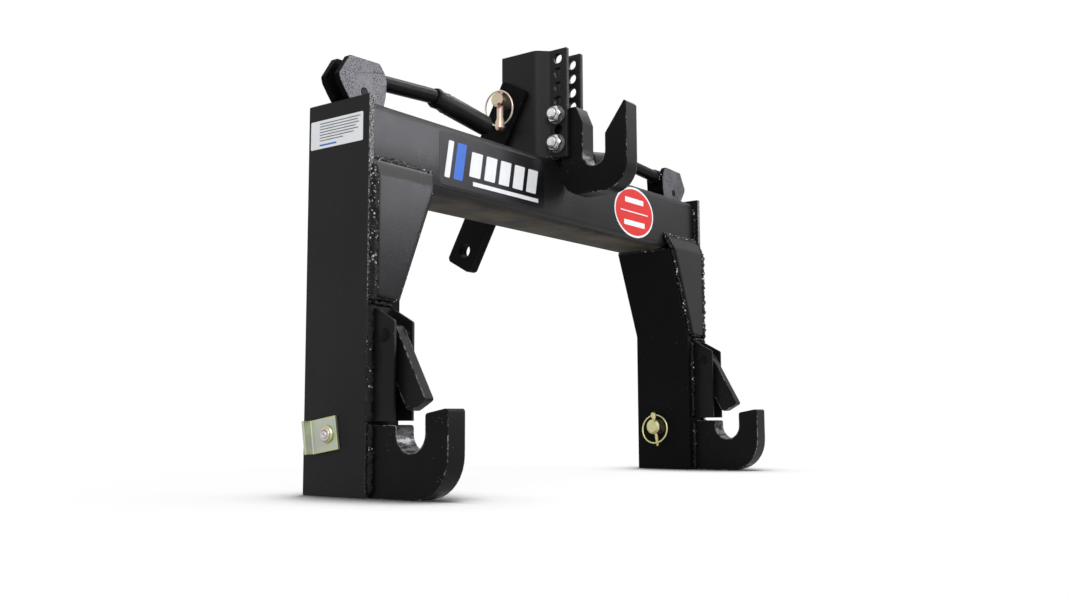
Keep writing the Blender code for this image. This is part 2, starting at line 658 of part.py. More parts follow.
def build_latch(shop, name, side):
    """Latch, its pin and spacers, and the pin that joins its tail to the pull rod."""
    place = (side * HOOK_X, -LATCH_PIVOT_SETOUT, LATCH_PIVOT_HEIGHT)
    pivot = shop.pivot(f"{name}_latch_pivot", place, (-LATCH_SWING, 0, 0))
    tail = (0, TAIL_REACH * cos(LATCH_SWING / 2), TAIL_REACH * sin(LATCH_SWING / 2))
    latch = shop.piece(f"{name}_latch", plate(latch_outline(), LATCH_THICKNESS, SIDE_VIEW), PAINT,
                       carrier=pivot)
    soften(latch, FINE_EDGE_BREAK)
    for spot, radius in (((0, 0, 0), LATCH_PIN_RADIUS), (tail, TAIL_PIN_RADIUS)):
        drill = cylinder(radius + GAP, 2 * LATCH_THICKNESS)
        combine(latch, shop.tool(drill, spot, ALONG_X, pivot), "DIFFERENCE")
    half = LATCH_THICKNESS / 2
    inner = half + RUNNING_GAP + 2 * PULL_ROD_RADIUS + TAIL_PIN_OVERHANG
    head = half + GAP
    top = head + TAIL_PIN_HEAD_HEIGHT
    edge = FINE_EDGE_BREAK
    tail_pin = turned([(0, top), (TAIL_PIN_HEAD - edge, top), (TAIL_PIN_HEAD, top - edge),
                       (TAIL_PIN_HEAD, head), (TAIL_PIN_RADIUS, head), (TAIL_PIN_RADIUS, edge - inner),
                       (TAIL_PIN_RADIUS - edge, -inner), (0, -inner)])
    shop.piece(f"{name}_latch_tail_pin", tail_pin, BRIGHT_ZINC, tail, (0, side * pi / 2, 0), pivot)
    cheek = BRACKET_WIDTH / 2 + GAP
    crown = [(LATCH_PIN_HEAD * sin(a), cheek + LATCH_PIN_CROWN * cos(a)) for a in (0, pi / 6, pi / 3, pi / 2)]
    pin = turned([*crown, (LATCH_PIN_RADIUS, cheek), (LATCH_PIN_RADIUS, -cheek), (LATCH_PIN_UPSET, -cheek),
                  (LATCH_PIN_RADIUS, -cheek - LATCH_PIN_UPSET_HEIGHT), (0, -cheek - LATCH_PIN_UPSET_HEIGHT)])
    shop.piece(f"{name}_latch_pin", pin, PAINT, place, (0, side * pi / 2, 0))
    length = BRACKET_WIDTH / 2 - BRACKET_SHEET - half - 2 * GAP
    spacer = turned(sleeve(SPACER_RADIUS, LATCH_PIN_RADIUS + GAP, length))
    for where, direction in (("inner", -side), ("outer", side)):
        spot = (place[0] + direction * (half + GAP + length / 2), place[1], place[2])
        shop.piece(f"{name}_latch_spacer_{where}", spacer, YELLOW_ZINC, spot, ALONG_X)


def build_pull_rod(shop, name, side):
    """Rod from the cam pin down through the beam to the latch's tail, with an eye at each end."""
    pivot_place = (side * CAM_X, CAM_SETBACK, CAM_PIVOT_HEIGHT)
    carrier = shop.pivot(f"{name}_pull_rod_guide", pivot_place)
    foot_y = TAIL_PIN_Y + TAIL_DRIFT / 2
    shift = Vector((side * (PULL_ROD_FOOT_X - CAM_X), foot_y - CAM_SETBACK))
    foot_z = TAIL_PIN_Z - CAM_PIVOT_HEIGHT
    eye_radius = CAM_PIN_RADIUS + GAP + PULL_ROD_EYE_WALL
    collar_top = BEAM_HEIGHT - SPRING_LENGTH - 2 * GAP - CAM_PIVOT_HEIGHT
    room = collar_top - COLLAR_THICKNESS - foot_z
    bend_top, bend_foot = [foot_z + share * room for share in PULL_ROD_BENDS]
    route = bent_path([(0, -CAM_PIN_RADIUS - 2 * GAP), (0, bend_top), (shift.length, bend_foot),
                       (shift.length, foot_z)], PULL_ROD_BEND_RADIUS)
    along = shift.normalized()
    pull_rod = shop.piece(f"{name}_pull_rod", rod([(along.x * u, along.y * u, z) for u, z in route],
                                                  PULL_ROD_RADIUS), BRIGHT_ZINC, carrier=carrier)
    facet_down = (ALONG_Y[0], pi / facets(eye_radius), 0)
    eye = cylinder(eye_radius, EYE_THICKNESS)
    combine(pull_rod, shop.tool(eye, (0, 0, 0), facet_down, carrier), "UNION")
    collar = cylinder(COLLAR_RADIUS, COLLAR_THICKNESS)
    combine(pull_rod, shop.tool(collar, (0, 0, collar_top - COLLAR_THICKNESS / 2), carrier=carrier), "UNION")
    wall = TAIL_PIN_RADIUS + GAP + PULL_ROD_EYE_WALL
    foot = (shift.x, shift.y, foot_z)
    flat = plate(slot_outline(wall, TAIL_DRIFT), PULL_ROD_FLAT, SIDE_VIEW)
    combine(pull_rod, shop.tool(flat, foot, carrier=carrier), "UNION")
    bore = cylinder(CAM_PIN_RADIUS + GAP, 2 * EYE_THICKNESS)
    combine(pull_rod, shop.tool(bore, (0, 0, 0), ALONG_Y, carrier), "DIFFERENCE")
    slot = plate(slot_outline(TAIL_PIN_RADIUS + GAP, TAIL_DRIFT), 4 * PULL_ROD_RADIUS, SIDE_VIEW)
    combine(pull_rod, shop.tool(slot, foot, carrier=carrier), "DIFFERENCE")
    return carrier


def build_spring(shop, name, side):
    """Coil between the beam's underside and the collar on the pull rod."""
    rise = SPRING_LENGTH - 2 * SPRING_WIRE - 2 * GAP
    steps = SPRING_STEPS * SPRING_TURNS
    coil = []
    for step in range(steps + 1):
        turns = SPRING_TURNS * step / steps
        dead = 1 / SPRING_TURNS
        height = min(max((step / steps - dead) / (1 - 2 * dead), 0), 1)
        pitch = 2 * SPRING_WIRE + GAP
        lay = pitch * (min(turns, 1) - 1 + max(turns - (SPRING_TURNS - 1), 0))
        angle = 2 * pi * turns
        coil.append((SPRING_RADIUS * cos(angle), SPRING_RADIUS * sin(angle),
                     pitch + lay + height * (rise - 2 * pitch)))
    place = (side * CAM_X, CAM_SETBACK, BEAM_HEIGHT - GAP - SPRING_WIRE - rise)
    shop.piece(f"{name}_return_spring", rod(coil, SPRING_WIRE), SPRING_STEEL, place)


def cam_outline():
    """Cam seen from the front. The first number counts outward from the pivot, the second upward."""
    foot = -CAM_PIVOT_RISE + GAP
    step = -CAM_PIVOT_RISE + SIDE_PLATE_RISE + CAM_STEP_CLEARANCE
    step_x = SIDE_INNER_X - CAM_X - CAM_STEP_CLEARANCE
    upper = (CAM_NOSE, CAM_BROW, CAM_CROWN, CAM_SHOULDER, CAM_BACK, CAM_HEEL, (CAM_FOOT_START, foot))
    under = ((step_x - CAM_STEP_CLEARANCE, foot), (step_x, step), (CAM_STEP_END, step))
    corners = [(*spot, PLATE_CORNER) for spot in upper] + [(*spot, 0) for spot in under]
    return rounded(corners + [(*spot, PLATE_CORNER) for spot in (CAM_CHIN, CAM_JAW)])


def build_handle(shop, name, side, carrier):
    """Two cam plates with the handle welded between them, on a pin through the pull rod's eye."""
    pivot = shop.pivot(f"{name}_handle_pivot", (0, 0, 0), carrier=carrier)
    cam = plate(mirrored(cam_outline(), side), CAM_THICKNESS, FRONT_VIEW)
    drill = cylinder(CAM_PIN_RADIUS + GAP, 2 * CAM_PITCH)
    for where, direction in (("front", -1), ("rear", 1)):
        cam_plate = shop.piece(f"{name}_cam_plate_{where}", cam, PAINT, (0, direction * CAM_PITCH / 2, 0),
                               carrier=pivot)
        soften(cam_plate, FINE_EDGE_BREAK)
        combine(cam_plate, shop.tool(drill, (0, 0, 0), ALONG_Y, pivot), "DIFFERENCE")
    pin = turned(chamfered_pin(CAM_PIN_RADIUS, CAM_PITCH + CAM_THICKNESS, FINE_EDGE_BREAK))
    shop.piece(f"{name}_cam_pin", pin, PAINT, turn=ALONG_Y, carrier=pivot)

    start, bend, end = [Vector((-side * inward, up)) for inward, up in (HANDLE_START, HANDLE_BEND, HANDLE_END)]
    along = (end - bend).normalized()
    route = bent_path([start, bend, end - along * (GRIP_CAP + GAP)], HANDLE_BEND_RADIUS)
    handle = shop.piece(f"{name}_handle_rod", rod([(x, 0, z) for x, z in route], HANDLE_RADIUS), PAINT,
                        carrier=pivot)
    low, high = [start.y - TANG_DROP + half for half in (-HANDLE_RADIUS, HANDLE_RADIUS)]
    near, far = -side * TANG_START, -side * (HANDLE_START[0] + TANG_OVERLAP)
    tang = rounded([(near, low, TANG_CORNER), (far, low, 0), (far, high, 0), (near, high, TANG_CORNER)])
    combine(handle, shop.tool(plate(tang, EYE_THICKNESS, FRONT_VIEW), carrier=pivot), "UNION")

    first = HANDLE_BEND_RADIUS * tan((bend - start).angle(along) / 2) + 2 * GAP
    length = (end - bend).length - first
    bore = HANDLE_RADIUS + GAP
    grip = turned([(0, length), (GRIP_RADIUS - GRIP_CHAMFER, length), (GRIP_RADIUS, length - GRIP_CHAMFER),
                   (GRIP_RADIUS, GRIP_CHAMFER / 2), (GRIP_RADIUS - GRIP_CHAMFER / 2, 0), (bore, 0),
                   (bore, length - GRIP_CAP), (0, length - GRIP_CAP)])
    spot = bend + along * first
    lean = atan2(along.x, along.y)
    shop.piece(f"{name}_handle_grip", grip, RUBBER, (spot.x, 0, spot.y), (0, lean, 0), pivot)


def build_mast_plate(shop, name, side):
    """Drilled plate, joggled outward behind the hook to make room for a top link."""
    inner = TOP_LINK_WIDTH / 2
    joggle_end = MAST_STRIP + inner - STRIP_X
    path = bent_path([(STRIP_X, -MAST_FRONT), (STRIP_X, MAST_STRIP), (inner, joggle_end), (inner, MAST_BACK)],
                     MAST_THICKNESS + MAST_BEND)
    bottom = BEAM_TOP + GAP
    height = MAST_TOP - bottom
    sheet = plate(mirrored(strip(path[::-1], MAST_THICKNESS), side), height, PLAN_VIEW)
    mast = shop.piece(f"{name}_mast_plate", sheet, PAINT, (0, 0, bottom + height / 2))
    soften(mast, FINE_EDGE_BREAK)
    drill = cylinder(MAST_HOLE_RADIUS, 4 * MAST_THICKNESS)
    for hole in range(MAST_HOLES):
        place = (side * (STRIP_X + MAST_THICKNESS / 2), MAST_HOLE_SETBACK, bolt_height(hole))
        combine(mast, shop.tool(drill, place, ALONG_X), "DIFFERENCE")
    place = (side * (inner + MAST_THICKNESS / 2), TOP_PIN_SETBACK, TOP_PIN_HEIGHT)
    drill = cylinder(TOP_PIN_RADIUS + GAP, 4 * MAST_THICKNESS)
    combine(mast, shop.tool(drill, place, ALONG_X), "DIFFERENCE")


def bolt_height(hole):
    """Height of a hole in the mast, counted from the lowest, which is 0."""
    return BEAM_TOP + MAST_FIRST_HOLE + hole * MAST_HOLE_PITCH


def build_top_hook(shop):
    back = -TOP_HOOK_THROAT_BACK
    front = back - TOP_HOOK_THROAT
    half = TOP_HOOK_THROAT / 2
    tip = front - TOP_HOOK_ARM
    top = bolt_height(max(BOLT_HOLES_USED)) + TOP_HOOK_RIM
    seat = BEAM_TOP - TOP_HOOK_SEAT_DROP
    bottom = seat - TOP_HOOK_SOLE
    lead, lead_drop = TOP_HOOK_LEAD
    outline = rounded([
        (TOP_HOOK_BACK, BEAM_TOP + GAP, 0),
        (TOP_HOOK_BACK, top, PLATE_CORNER),
        (back + lead, top, PLATE_CORNER),
        (back, top - lead_drop, PLATE_CORNER),
        (back, seat, half),
        (front, seat, half),
        (front, top - TOP_HOOK_ARM_DROP, PLATE_CORNER),
        (tip + TOP_HOOK_TIP_DROP, top - TOP_HOOK_TIP_DROP, 0),
        (tip, top - 2 * TOP_HOOK_TIP_DROP, 0),
        (tip, bottom, TOP_HOOK_TOE_RADIUS),
        (TOP_HOOK_HEEL, bottom, TOP_HOOK_HEEL_RADIUS),
        (TOP_HOOK_HEEL, BEAM_TOP + GAP, 0),
    ])
    hook = shop.piece("top_hook", plate(outline, TOP_HOOK_THICKNESS, SIDE_VIEW), PAINT)
    soften(hook, EDGE_BREAK)
    drill = cylinder(BOLT_RADIUS + GAP, 2 * TOP_HOOK_THICKNESS)
    for hole in BOLT_HOLES_USED:
        place = (0, MAST_HOLE_SETBACK, bolt_height(hole))
        combine(hook, shop.tool(drill, place, ALONG_X), "DIFFERENCE")


def hexagon(shop, obj, height):
    """Trims a six-sided prism along Z to a round-cornered nut or bolt head."""
    corner = NUT_WIDTH / sqrt(3)
    flat = NUT_WIDTH / 2
    half = height / 2
    trim = [(0, half), (flat, half), (corner + CUT_MARGIN, half - NUT_CHAMFER * (corner + CUT_MARGIN - flat)),
            (corner + CUT_MARGIN, -half - CUT_MARGIN), (0, -half - CUT_MARGIN)]
    combine(obj, shop.tool(turned(trim), obj.location, obj.rotation_euler), "INTERSECT")


def build_bolts(shop):
    face = STRIP_X + MAST_THICKNESS + GAP
    seat = face + WASHER_THICKNESS + GAP
    corner = NUT_WIDTH / sqrt(3)
    washer = turned(sleeve(WASHER_RADIUS, BOLT_RADIUS + GAP, WASHER_THICKNESS))
    for where, hole in zip(("upper", "lower"), BOLT_HOLES_USED):
        y, z = MAST_HOLE_SETBACK, bolt_height(hole)
        for position, side in (("head", 1), ("nut", -1)):
            shop.piece(f"hook_washer_{where}_{position}", washer, BRIGHT_ZINC,
                       (side * (face + WASHER_THICKNESS / 2), y, z), ALONG_X)
        head = shop.piece(f"hook_bolt_{where}", cylinder(corner, BOLT_HEAD_HEIGHT, 6), BRIGHT_ZINC,
                          (seat + BOLT_HEAD_HEIGHT / 2, y, z), ALONG_X)
        hexagon(shop, head, BOLT_HEAD_HEIGHT)
        end = -seat - NUT_HEIGHT - BOLT_OVERHANG
        top = seat + BOLT_HEAD_HEIGHT / 2
        shank = turned([(0, top), (BOLT_RADIUS, top), (BOLT_RADIUS, end + BOLT_CHAMFER),
                        (BOLT_RADIUS - BOLT_CHAMFER, end), (0, end)])
        combine(head, shop.tool(shank, (0, y, z), ALONG_X), "UNION")
        hexagon_height = NUT_HEIGHT - NUT_COLLAR
        nut = shop.piece(f"hook_nut_{where}", cylinder(corner, hexagon_height, 6), BRIGHT_ZINC,
                         (-seat - hexagon_height / 2, y, z), (0, -pi / 2, 0))
        hexagon(shop, nut, hexagon_height)
        rim = hexagon_height / 2 + NUT_COLLAR
        collar = turned([(0, rim), (NUT_COLLAR_RADIUS - BOLT_CHAMFER, rim),
                         (NUT_COLLAR_RADIUS, rim - BOLT_CHAMFER), (NUT_COLLAR_RADIUS, 0), (0, 0)])
        combine(nut, shop.tool(collar, nut.location, nut.rotation_euler), "UNION")
        bore = cylinder(BOLT_RADIUS + GAP, 3 * NUT_HEIGHT)
        combine(nut, shop.tool(bore, nut.location, ALONG_X), "DIFFERENCE")


def build_top_pin(shop):
    inner = LINK_BAR_X + LINK_BAR_THICKNESS + GAP
    top = inner + TOP_PIN_HEAD_HEIGHT
    end = -TOP_PIN_END
    across, along = TOP_PIN_POINT
    profile = [(0, top), (TOP_PIN_HEAD_RADIUS - TOP_PIN_HEAD_CHAMFER, top),
               (TOP_PIN_HEAD_RADIUS, top - TOP_PIN_HEAD_CHAMFER), (TOP_PIN_HEAD_RADIUS, inner),
               (TOP_PIN_RADIUS, inner), (TOP_PIN_RADIUS, end + along), (TOP_PIN_RADIUS - across, end), (0, end)]
    place = (0, TOP_PIN_SETBACK, TOP_PIN_HEIGHT)
    pin = shop.piece("top_link_pin", turned(profile), YELLOW_ZINC, place, ALONG_X)
    x = LINCHPIN_SETBACK - TOP_PIN_END
    build_linchpin(shop, "top", TOP_LINCHPIN, pin, (x, *place[1:]), TOP_PIN_RADIUS, (pi, 0, 0), -1)


def build_drop_link_bar(shop, name, side, carrier):
    """Bar that starts beside the mast and is joggled in to lie against its twin."""
    path = bent_path([(LINK_BAR_X, LINK_END + CUT_MARGIN), (LINK_BAR_X, -LINK_JOGGLE_START),
                      (GAP / 2, -LINK_JOGGLE_END), (GAP / 2, -LINK_LENGTH - CUT_MARGIN)],
                     LINK_BAR_THICKNESS + LINK_BEND)
    sheet = plate(mirrored(strip(path, LINK_BAR_THICKNESS), side), LINK_BAR_WIDTH, FRONT_VIEW)
    bar = shop.piece(f"{name}_drop_link_bar", sheet, PAINT, carrier=carrier)
    half = LINK_BAR_WIDTH / 2 + CUT_MARGIN
    inset = LINK_END_CHAMFER + CUT_MARGIN
    outline = [(half, LINK_END - inset), (half - inset, LINK_END), (inset - half, LINK_END),
               (-half, LINK_END - inset), (-half, inset - LINK_LENGTH), (inset - half, -LINK_LENGTH),
               (half - inset, -LINK_LENGTH), (half, inset - LINK_LENGTH)]
    trim = plate(outline, 2 * (LINK_BAR_X + 2 * LINK_BAR_THICKNESS), SIDE_VIEW)
    combine(bar, shop.tool(trim, carrier=carrier), "INTERSECT")
    soften(bar, FINE_EDGE_BREAK)
    drill = cylinder(LINK_HOLE_RADIUS, 8 * LINK_BAR_X)
    for drop in (0, LINK_HOLE_SPACING):
        combine(bar, shop.tool(drill, (0, 0, -drop), ALONG_X, carrier), "DIFFERENCE")


def build_hitch_pin(shop, name, side):
    """Lower link pin with a bent flag plate on its outer end, by which it is turned and pulled."""
    flag_x = SIDE_OUTER_X + GAP
    outer = flag_x + FLAG_SHEET
    inner = HITCH_PIN_INNER_X
    radius, boss, chamfer = HITCH_PIN_RADIUS, HITCH_PIN_BOSS, HITCH_PIN_CHAMFER
    top = outer + HITCH_PIN_BOSS_HEIGHT
    profile = [(0, top), (boss - HITCH_PIN_BOSS_HEIGHT / 2, top), (boss, top - HITCH_PIN_BOSS_HEIGHT / 2),
               (boss, flag_x - GAP), (radius, flag_x - GAP), (radius, inner + chamfer),
               (radius - chamfer, inner), (0, inner)]
    place = (0, HITCH_PIN_SETBACK, HITCH_PIN_HEIGHT)
    pin = shop.piece(f"{name}_hitch_pin", turned(profile), YELLOW_ZINC, place, (0, side * pi / 2, 0))
    path = bent_path([(flag_x, -FLAG_FRONT), (flag_x, FLAG_BACK), (flag_x + FLAG_GRIP, FLAG_BACK)], FLAG_BEND)
    sheet = plate(mirrored(strip(path[::-1], FLAG_SHEET), side), FLAG_HEIGHT, PLAN_VIEW)
    flag = shop.piece(f"{name}_hitch_pin_flag", sheet, YELLOW_ZINC, place, (-FLAG_TURN, 0, 0))
    soften(flag, FLAG_EDGE_BREAK)
    drill = cylinder(boss + GAP, 4 * FLAG_SHEET)
    combine(flag, shop.tool(drill, (side * (flag_x + FLAG_SHEET / 2), *place[1:]), ALONG_X), "DIFFERENCE")
    spot = (side * (inner + LINCHPIN_SETBACK), *place[1:])
    build_linchpin(shop, name, LOWER_LINCHPIN, pin, spot, radius, (-LINCHPIN_SLANT, 0, 0), -side)


def build_linchpin(shop, name, sizes, pin, place, pin_radius, turn, outward):
    """Linch pin across the end of a pin, and the spring ring that closes round the end."""
    stem, head, wire = sizes["stem"], sizes["head"], sizes["wire"]
    hinge = pin_radius + sizes["standoff"] + sizes["neck"]
    reach = hinge + pin_radius + sizes["past"]
    ring = (hinge + pin_radius + sizes["room"] + wire) / 2
    profile = [(0, head), (0.7 * head, head), (head, 0.6 * head), (head, -0.5 * head), (stem, -sizes["neck"]),
               (stem, LINCHPIN_POINT - reach), (0.6 * stem, -reach), (0, -reach)]
    eye = Vector(place) + Matrix.Rotation(turn[0], 3, "X") @ Vector((0, 0, hinge))
    linchpin = shop.piece(f"{name}_linchpin", turned(profile), YELLOW_ZINC, eye, turn)
    bore = cylinder(wire + RING_PLAY, 4 * head, 2 * facets(wire))
    combine(linchpin, shop.tool(bore, eye, (turn[0] - pi / 2, 0, 0)), "DIFFERENCE")
    combine(pin, shop.tool(cylinder(stem + GAP, 4 * pin_radius), place, turn), "DIFFERENCE")

    pivot = shop.pivot(f"{name}_linchpin_ring_pivot", eye, turn)
    tilt = asin((stem + wire + GAP) / (2 * ring))
    start = asin(wire / ring)
    loop = []
    for step in range(RING_STEPS + 1):
        angle = start + (2 * pi - 2 * start) * step / RING_STEPS
        drop = ring * (1 - cos(angle)) - wire * RING_SAG
        loop.append((outward * drop * sin(tilt), ring * sin(angle), -drop * cos(tilt)))
    shop.piece(f"{name}_linchpin_ring", rod(loop, wire), YELLOW_ZINC, carrier=pivot)


def main():
    clear_scene()
    shop = Workshop()
    build_beam(shop)
    for name, side in (("left", -1), ("right", 1)):
        build_side_plate(shop, name, side)
        build_channel(shop, name, side)
        build_gusset(shop, name, side)
        build_hook(shop, name, side)
        build_bracket(shop, name, side)
        build_latch(shop, name, side)
        guide = build_pull_rod(shop, name, side)
        build_spring(shop, name, side)
        build_handle(shop, name, side, guide)
        build_mast_plate(shop, name, side)
        build_hitch_pin(shop, name, side)
    build_top_hook(shop)
    build_bolts(shop)
    build_top_pin(shop)
    link = shop.pivot("drop_link_pivot", (0, TOP_PIN_SETBACK, TOP_PIN_HEIGHT), (LINK_LEAN, 0, 0))
    for name, side in (("left", -1), ("right", 1)):
        build_drop_link_bar(shop, name, side, link)
    bpy.context.view_layer.update()


main()
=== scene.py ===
"""Finish, weld beads, fine springs and rings, decals and lighting of the three point quick hitch."""

import json
import math
import random

import bpy
from mathutils import Matrix, Vector


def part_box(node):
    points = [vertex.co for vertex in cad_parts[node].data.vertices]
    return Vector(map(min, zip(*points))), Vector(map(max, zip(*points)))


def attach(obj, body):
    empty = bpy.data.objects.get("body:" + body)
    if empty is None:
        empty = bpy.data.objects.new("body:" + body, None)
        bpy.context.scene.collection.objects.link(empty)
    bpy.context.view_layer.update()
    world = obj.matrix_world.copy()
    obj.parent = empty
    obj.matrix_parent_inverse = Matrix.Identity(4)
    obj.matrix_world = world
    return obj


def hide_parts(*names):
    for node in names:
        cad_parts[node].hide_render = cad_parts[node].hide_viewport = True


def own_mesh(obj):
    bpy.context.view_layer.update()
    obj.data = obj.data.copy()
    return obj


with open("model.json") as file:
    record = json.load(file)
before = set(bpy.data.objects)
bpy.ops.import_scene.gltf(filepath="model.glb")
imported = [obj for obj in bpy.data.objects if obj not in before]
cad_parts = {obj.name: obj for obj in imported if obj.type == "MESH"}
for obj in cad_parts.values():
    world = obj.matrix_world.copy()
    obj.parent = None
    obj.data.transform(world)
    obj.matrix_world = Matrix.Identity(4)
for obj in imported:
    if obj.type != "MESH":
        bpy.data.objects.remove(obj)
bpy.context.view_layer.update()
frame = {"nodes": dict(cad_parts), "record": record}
nodes = frame["nodes"]

random.seed(7)

SIDES = (("left", -1), ("right", 1))
OUT = Vector((1, 0, 0))                         # away from the middle, on the right half
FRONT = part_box("left_side_plate")[0].y          # front edges of the side plates
BEAM_LOW, BEAM_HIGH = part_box("beam_tube")

# Sizes of the solids that their boxes don't give
HOOK_THROAT = (FRONT - 0.05505, 0.06545)        # Y and Z of the axis of a lower throat's round
HOOK_THROAT_RADIUS = 0.01925
TOP_THROAT = (FRONT - 0.0478, 0.416)
TOP_THROAT_RADIUS = 0.017
CHANNEL_REACH = 0.0415                          # from a side plate to its channel's wall
HANDLE_Y = FRONT + 0.0473
GRIP_RADIUS = 0.0125
GRIP_BORE = 0.0094
GRIP_END = 0.003                                # thickness of its closed end
SPRING_WIRE = 0.0013
SPRING_TURNS = 6
LOWER_RING_WIRE = 0.0013
TOP_RING_WIRE = 0.0012
BOLT_RADIUS = 0.00635

# Decals
FILM = 0.00012                                  # thickness
FILM_GAP = 0.00004                              # over the paint


# Workbench

def deselect():
    """Leaves no object chosen."""
    bpy.ops.object.select_all(action="DESELECT")


def active():
    """The object that was made or chosen last."""
    return bpy.context.view_layer.objects.active


def settle(name):
    """Names the active object and moves its place, turn and scale into its mesh."""
    obj = active()
    obj.name = name
    obj.data.name = name
    bpy.ops.object.transform_apply(location=True, rotation=True, scale=True)
    return obj


def modify(kind, **settings):
    """Adds a modifier to the active object and applies it."""
    modifier = active().modifiers.new(kind.lower(), kind)
    for key, value in settings.items():
        setattr(modifier, key, value)
    bpy.ops.object.modifier_apply(modifier=modifier.name)


def choose(mode, test):
    """In edit mode, selects what passes a test of a corner's place, an edge's run or a face's middle."""
    mesh = active().data
    bpy.ops.mesh.select_mode(type=mode)
    bpy.ops.mesh.select_all(action="DESELECT")
    bpy.ops.object.mode_set(mode="OBJECT")
    if mode == "VERT":
        for vertex in mesh.vertices:
            vertex.select = test(vertex.co)
    elif mode == "EDGE":
        for edge in mesh.edges:
            start, end = [mesh.vertices[index].co for index in edge.vertices]
            edge.select = test(end - start)
    else:
        for face in mesh.polygons:
            face.select = test(face.center)
    bpy.ops.object.mode_set(mode="EDIT")


def edit(on=True):
    """Enters or leaves edit mode."""
    bpy.ops.object.mode_set(mode="EDIT" if on else "OBJECT")


def join(pieces, name):
    """Makes one object of several."""
    deselect()
    for piece in pieces:
        piece.select_set(True)
    bpy.context.view_layer.objects.active = pieces[0]
    bpy.ops.object.join()
    return settle(name)


def outward():
    """Turns every face of the active object outwards."""
    edit()
    bpy.ops.mesh.select_all(action="SELECT")
    bpy.ops.mesh.normals_make_consistent(inside=False)
    edit(False)


def copy_of(obj, name, shift=(0, 0, 0), scale=(1, 1, 1)):
    """Copy of a finished piece with its own mesh, moved along, stretched or mirrored."""
    deselect()
    twin = obj.copy()
    twin.data = obj.data.copy()
    bpy.context.scene.collection.objects.link(twin)
    twin.select_set(True)
    bpy.context.view_layer.objects.active = twin
    twin.parent = None
    twin.location = shift
    twin.scale = scale
    settle(name)
    if min(scale) < 0:
        outward()
    return twin


def hoop(name, radius, wire, steps, sides, centre, facing):
    """Closed ring of round wire: a small circle spun about an axis, turned and put in its place."""
    deselect()
    bpy.ops.mesh.primitive_circle_add(vertices=sides, radius=wire, rotation=(math.pi / 2, 0, 0),
                                      location=(radius, 0, 0))
    bpy.ops.object.transform_apply(location=True, rotation=True, scale=True)
    edit()
    bpy.ops.mesh.select_all(action="SELECT")
    bpy.ops.mesh.spin(steps=steps, angle=2 * math.pi, center=(0, 0, 0), axis=(0, 0, 1))
    bpy.ops.mesh.select_all(action="SELECT")
    bpy.ops.mesh.remove_doubles(threshold=wire / 20)
    edit(False)
    outward()
    active().rotation_euler = facing.to_track_quat("Z", "Y").to_euler()
    active().location = centre
    piece = settle(name)
    piece.data.shade_smooth()
    return piece


def ride(obj, body, finish):
    """Gives a piece its finish and the body that carries it."""
    obj.data.materials.clear()
    obj.data.materials.append(finish.material)
    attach(obj, body)
    return obj


def ride_pair(piece, body, finish, node=None):
    """Puts a piece on its right body and a mirrored copy on the left one, in place of any node named."""
    twin = copy_of(piece, piece.name.replace("right", "left"), scale=(-1, 1, 1))
    for side, obj in (("right", piece), ("left", twin)):
        ride(obj, body.replace("right", side), finish)
        if node:
            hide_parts(node.replace("right", side))


def lie_of(node):
    """Middle of a long node, the direction that it runs in, and how far it reaches from the middle."""
    spots = [vertex.co for vertex in nodes[node].data.vertices]
    middle = sum(spots, Vector()) / len(spots)
    far = max(spots, key=lambda spot: (spot - middle).length)
    along = (far - middle).normalized()
    for _ in range(12):
        pulls = ((spot - middle) * (spot - middle).dot(along) for spot in spots)
        along = sum(pulls, Vector()).normalized()
    reach = [(spot - middle).dot(along) for spot in spots]
    return middle, along, min(reach), max(reach)


# Finishes

class Value:
    """A node's output that can be used in sums."""

    def __init__(self, finish, socket):
        self.finish = finish
        self.socket = socket

    def maths(self, operation, *values):
        """Result of a sum with other values or numbers."""
        return self.finish.node("ShaderNodeMath", {"operation": operation}, dict(enumerate(values)))

    def __add__(self, other):
        return self.maths("ADD", self, other)

    def __radd__(self, other):
        return self.maths("ADD", other, self)

    def __sub__(self, other):
        return self.maths("SUBTRACT", self, other)

    def __rsub__(self, other):
        return self.maths("SUBTRACT", other, self)

    def __mul__(self, other):
        return self.maths("MULTIPLY", self, other)

    def __rmul__(self, other):
        return self.maths("MULTIPLY", other, self)

    def __pow__(self, other):
        return self.maths("POWER", self, other)

    def ramp(self, low, high):
        """0 below low, 1 above high and smooth between them. With low above high it falls."""
        ends = {"To Min": 0.0, "To Max": 1.0} if low < high else {"To Min": 1.0, "To Max": 0.0}
        inputs = {"Value": self, "From Min": min(low, high), "From Max": max(low, high), **ends}
        settings = {"interpolation_type": "SMOOTHSTEP"}
        return self.finish.node("ShaderNodeMapRange", settings, inputs, "Result")


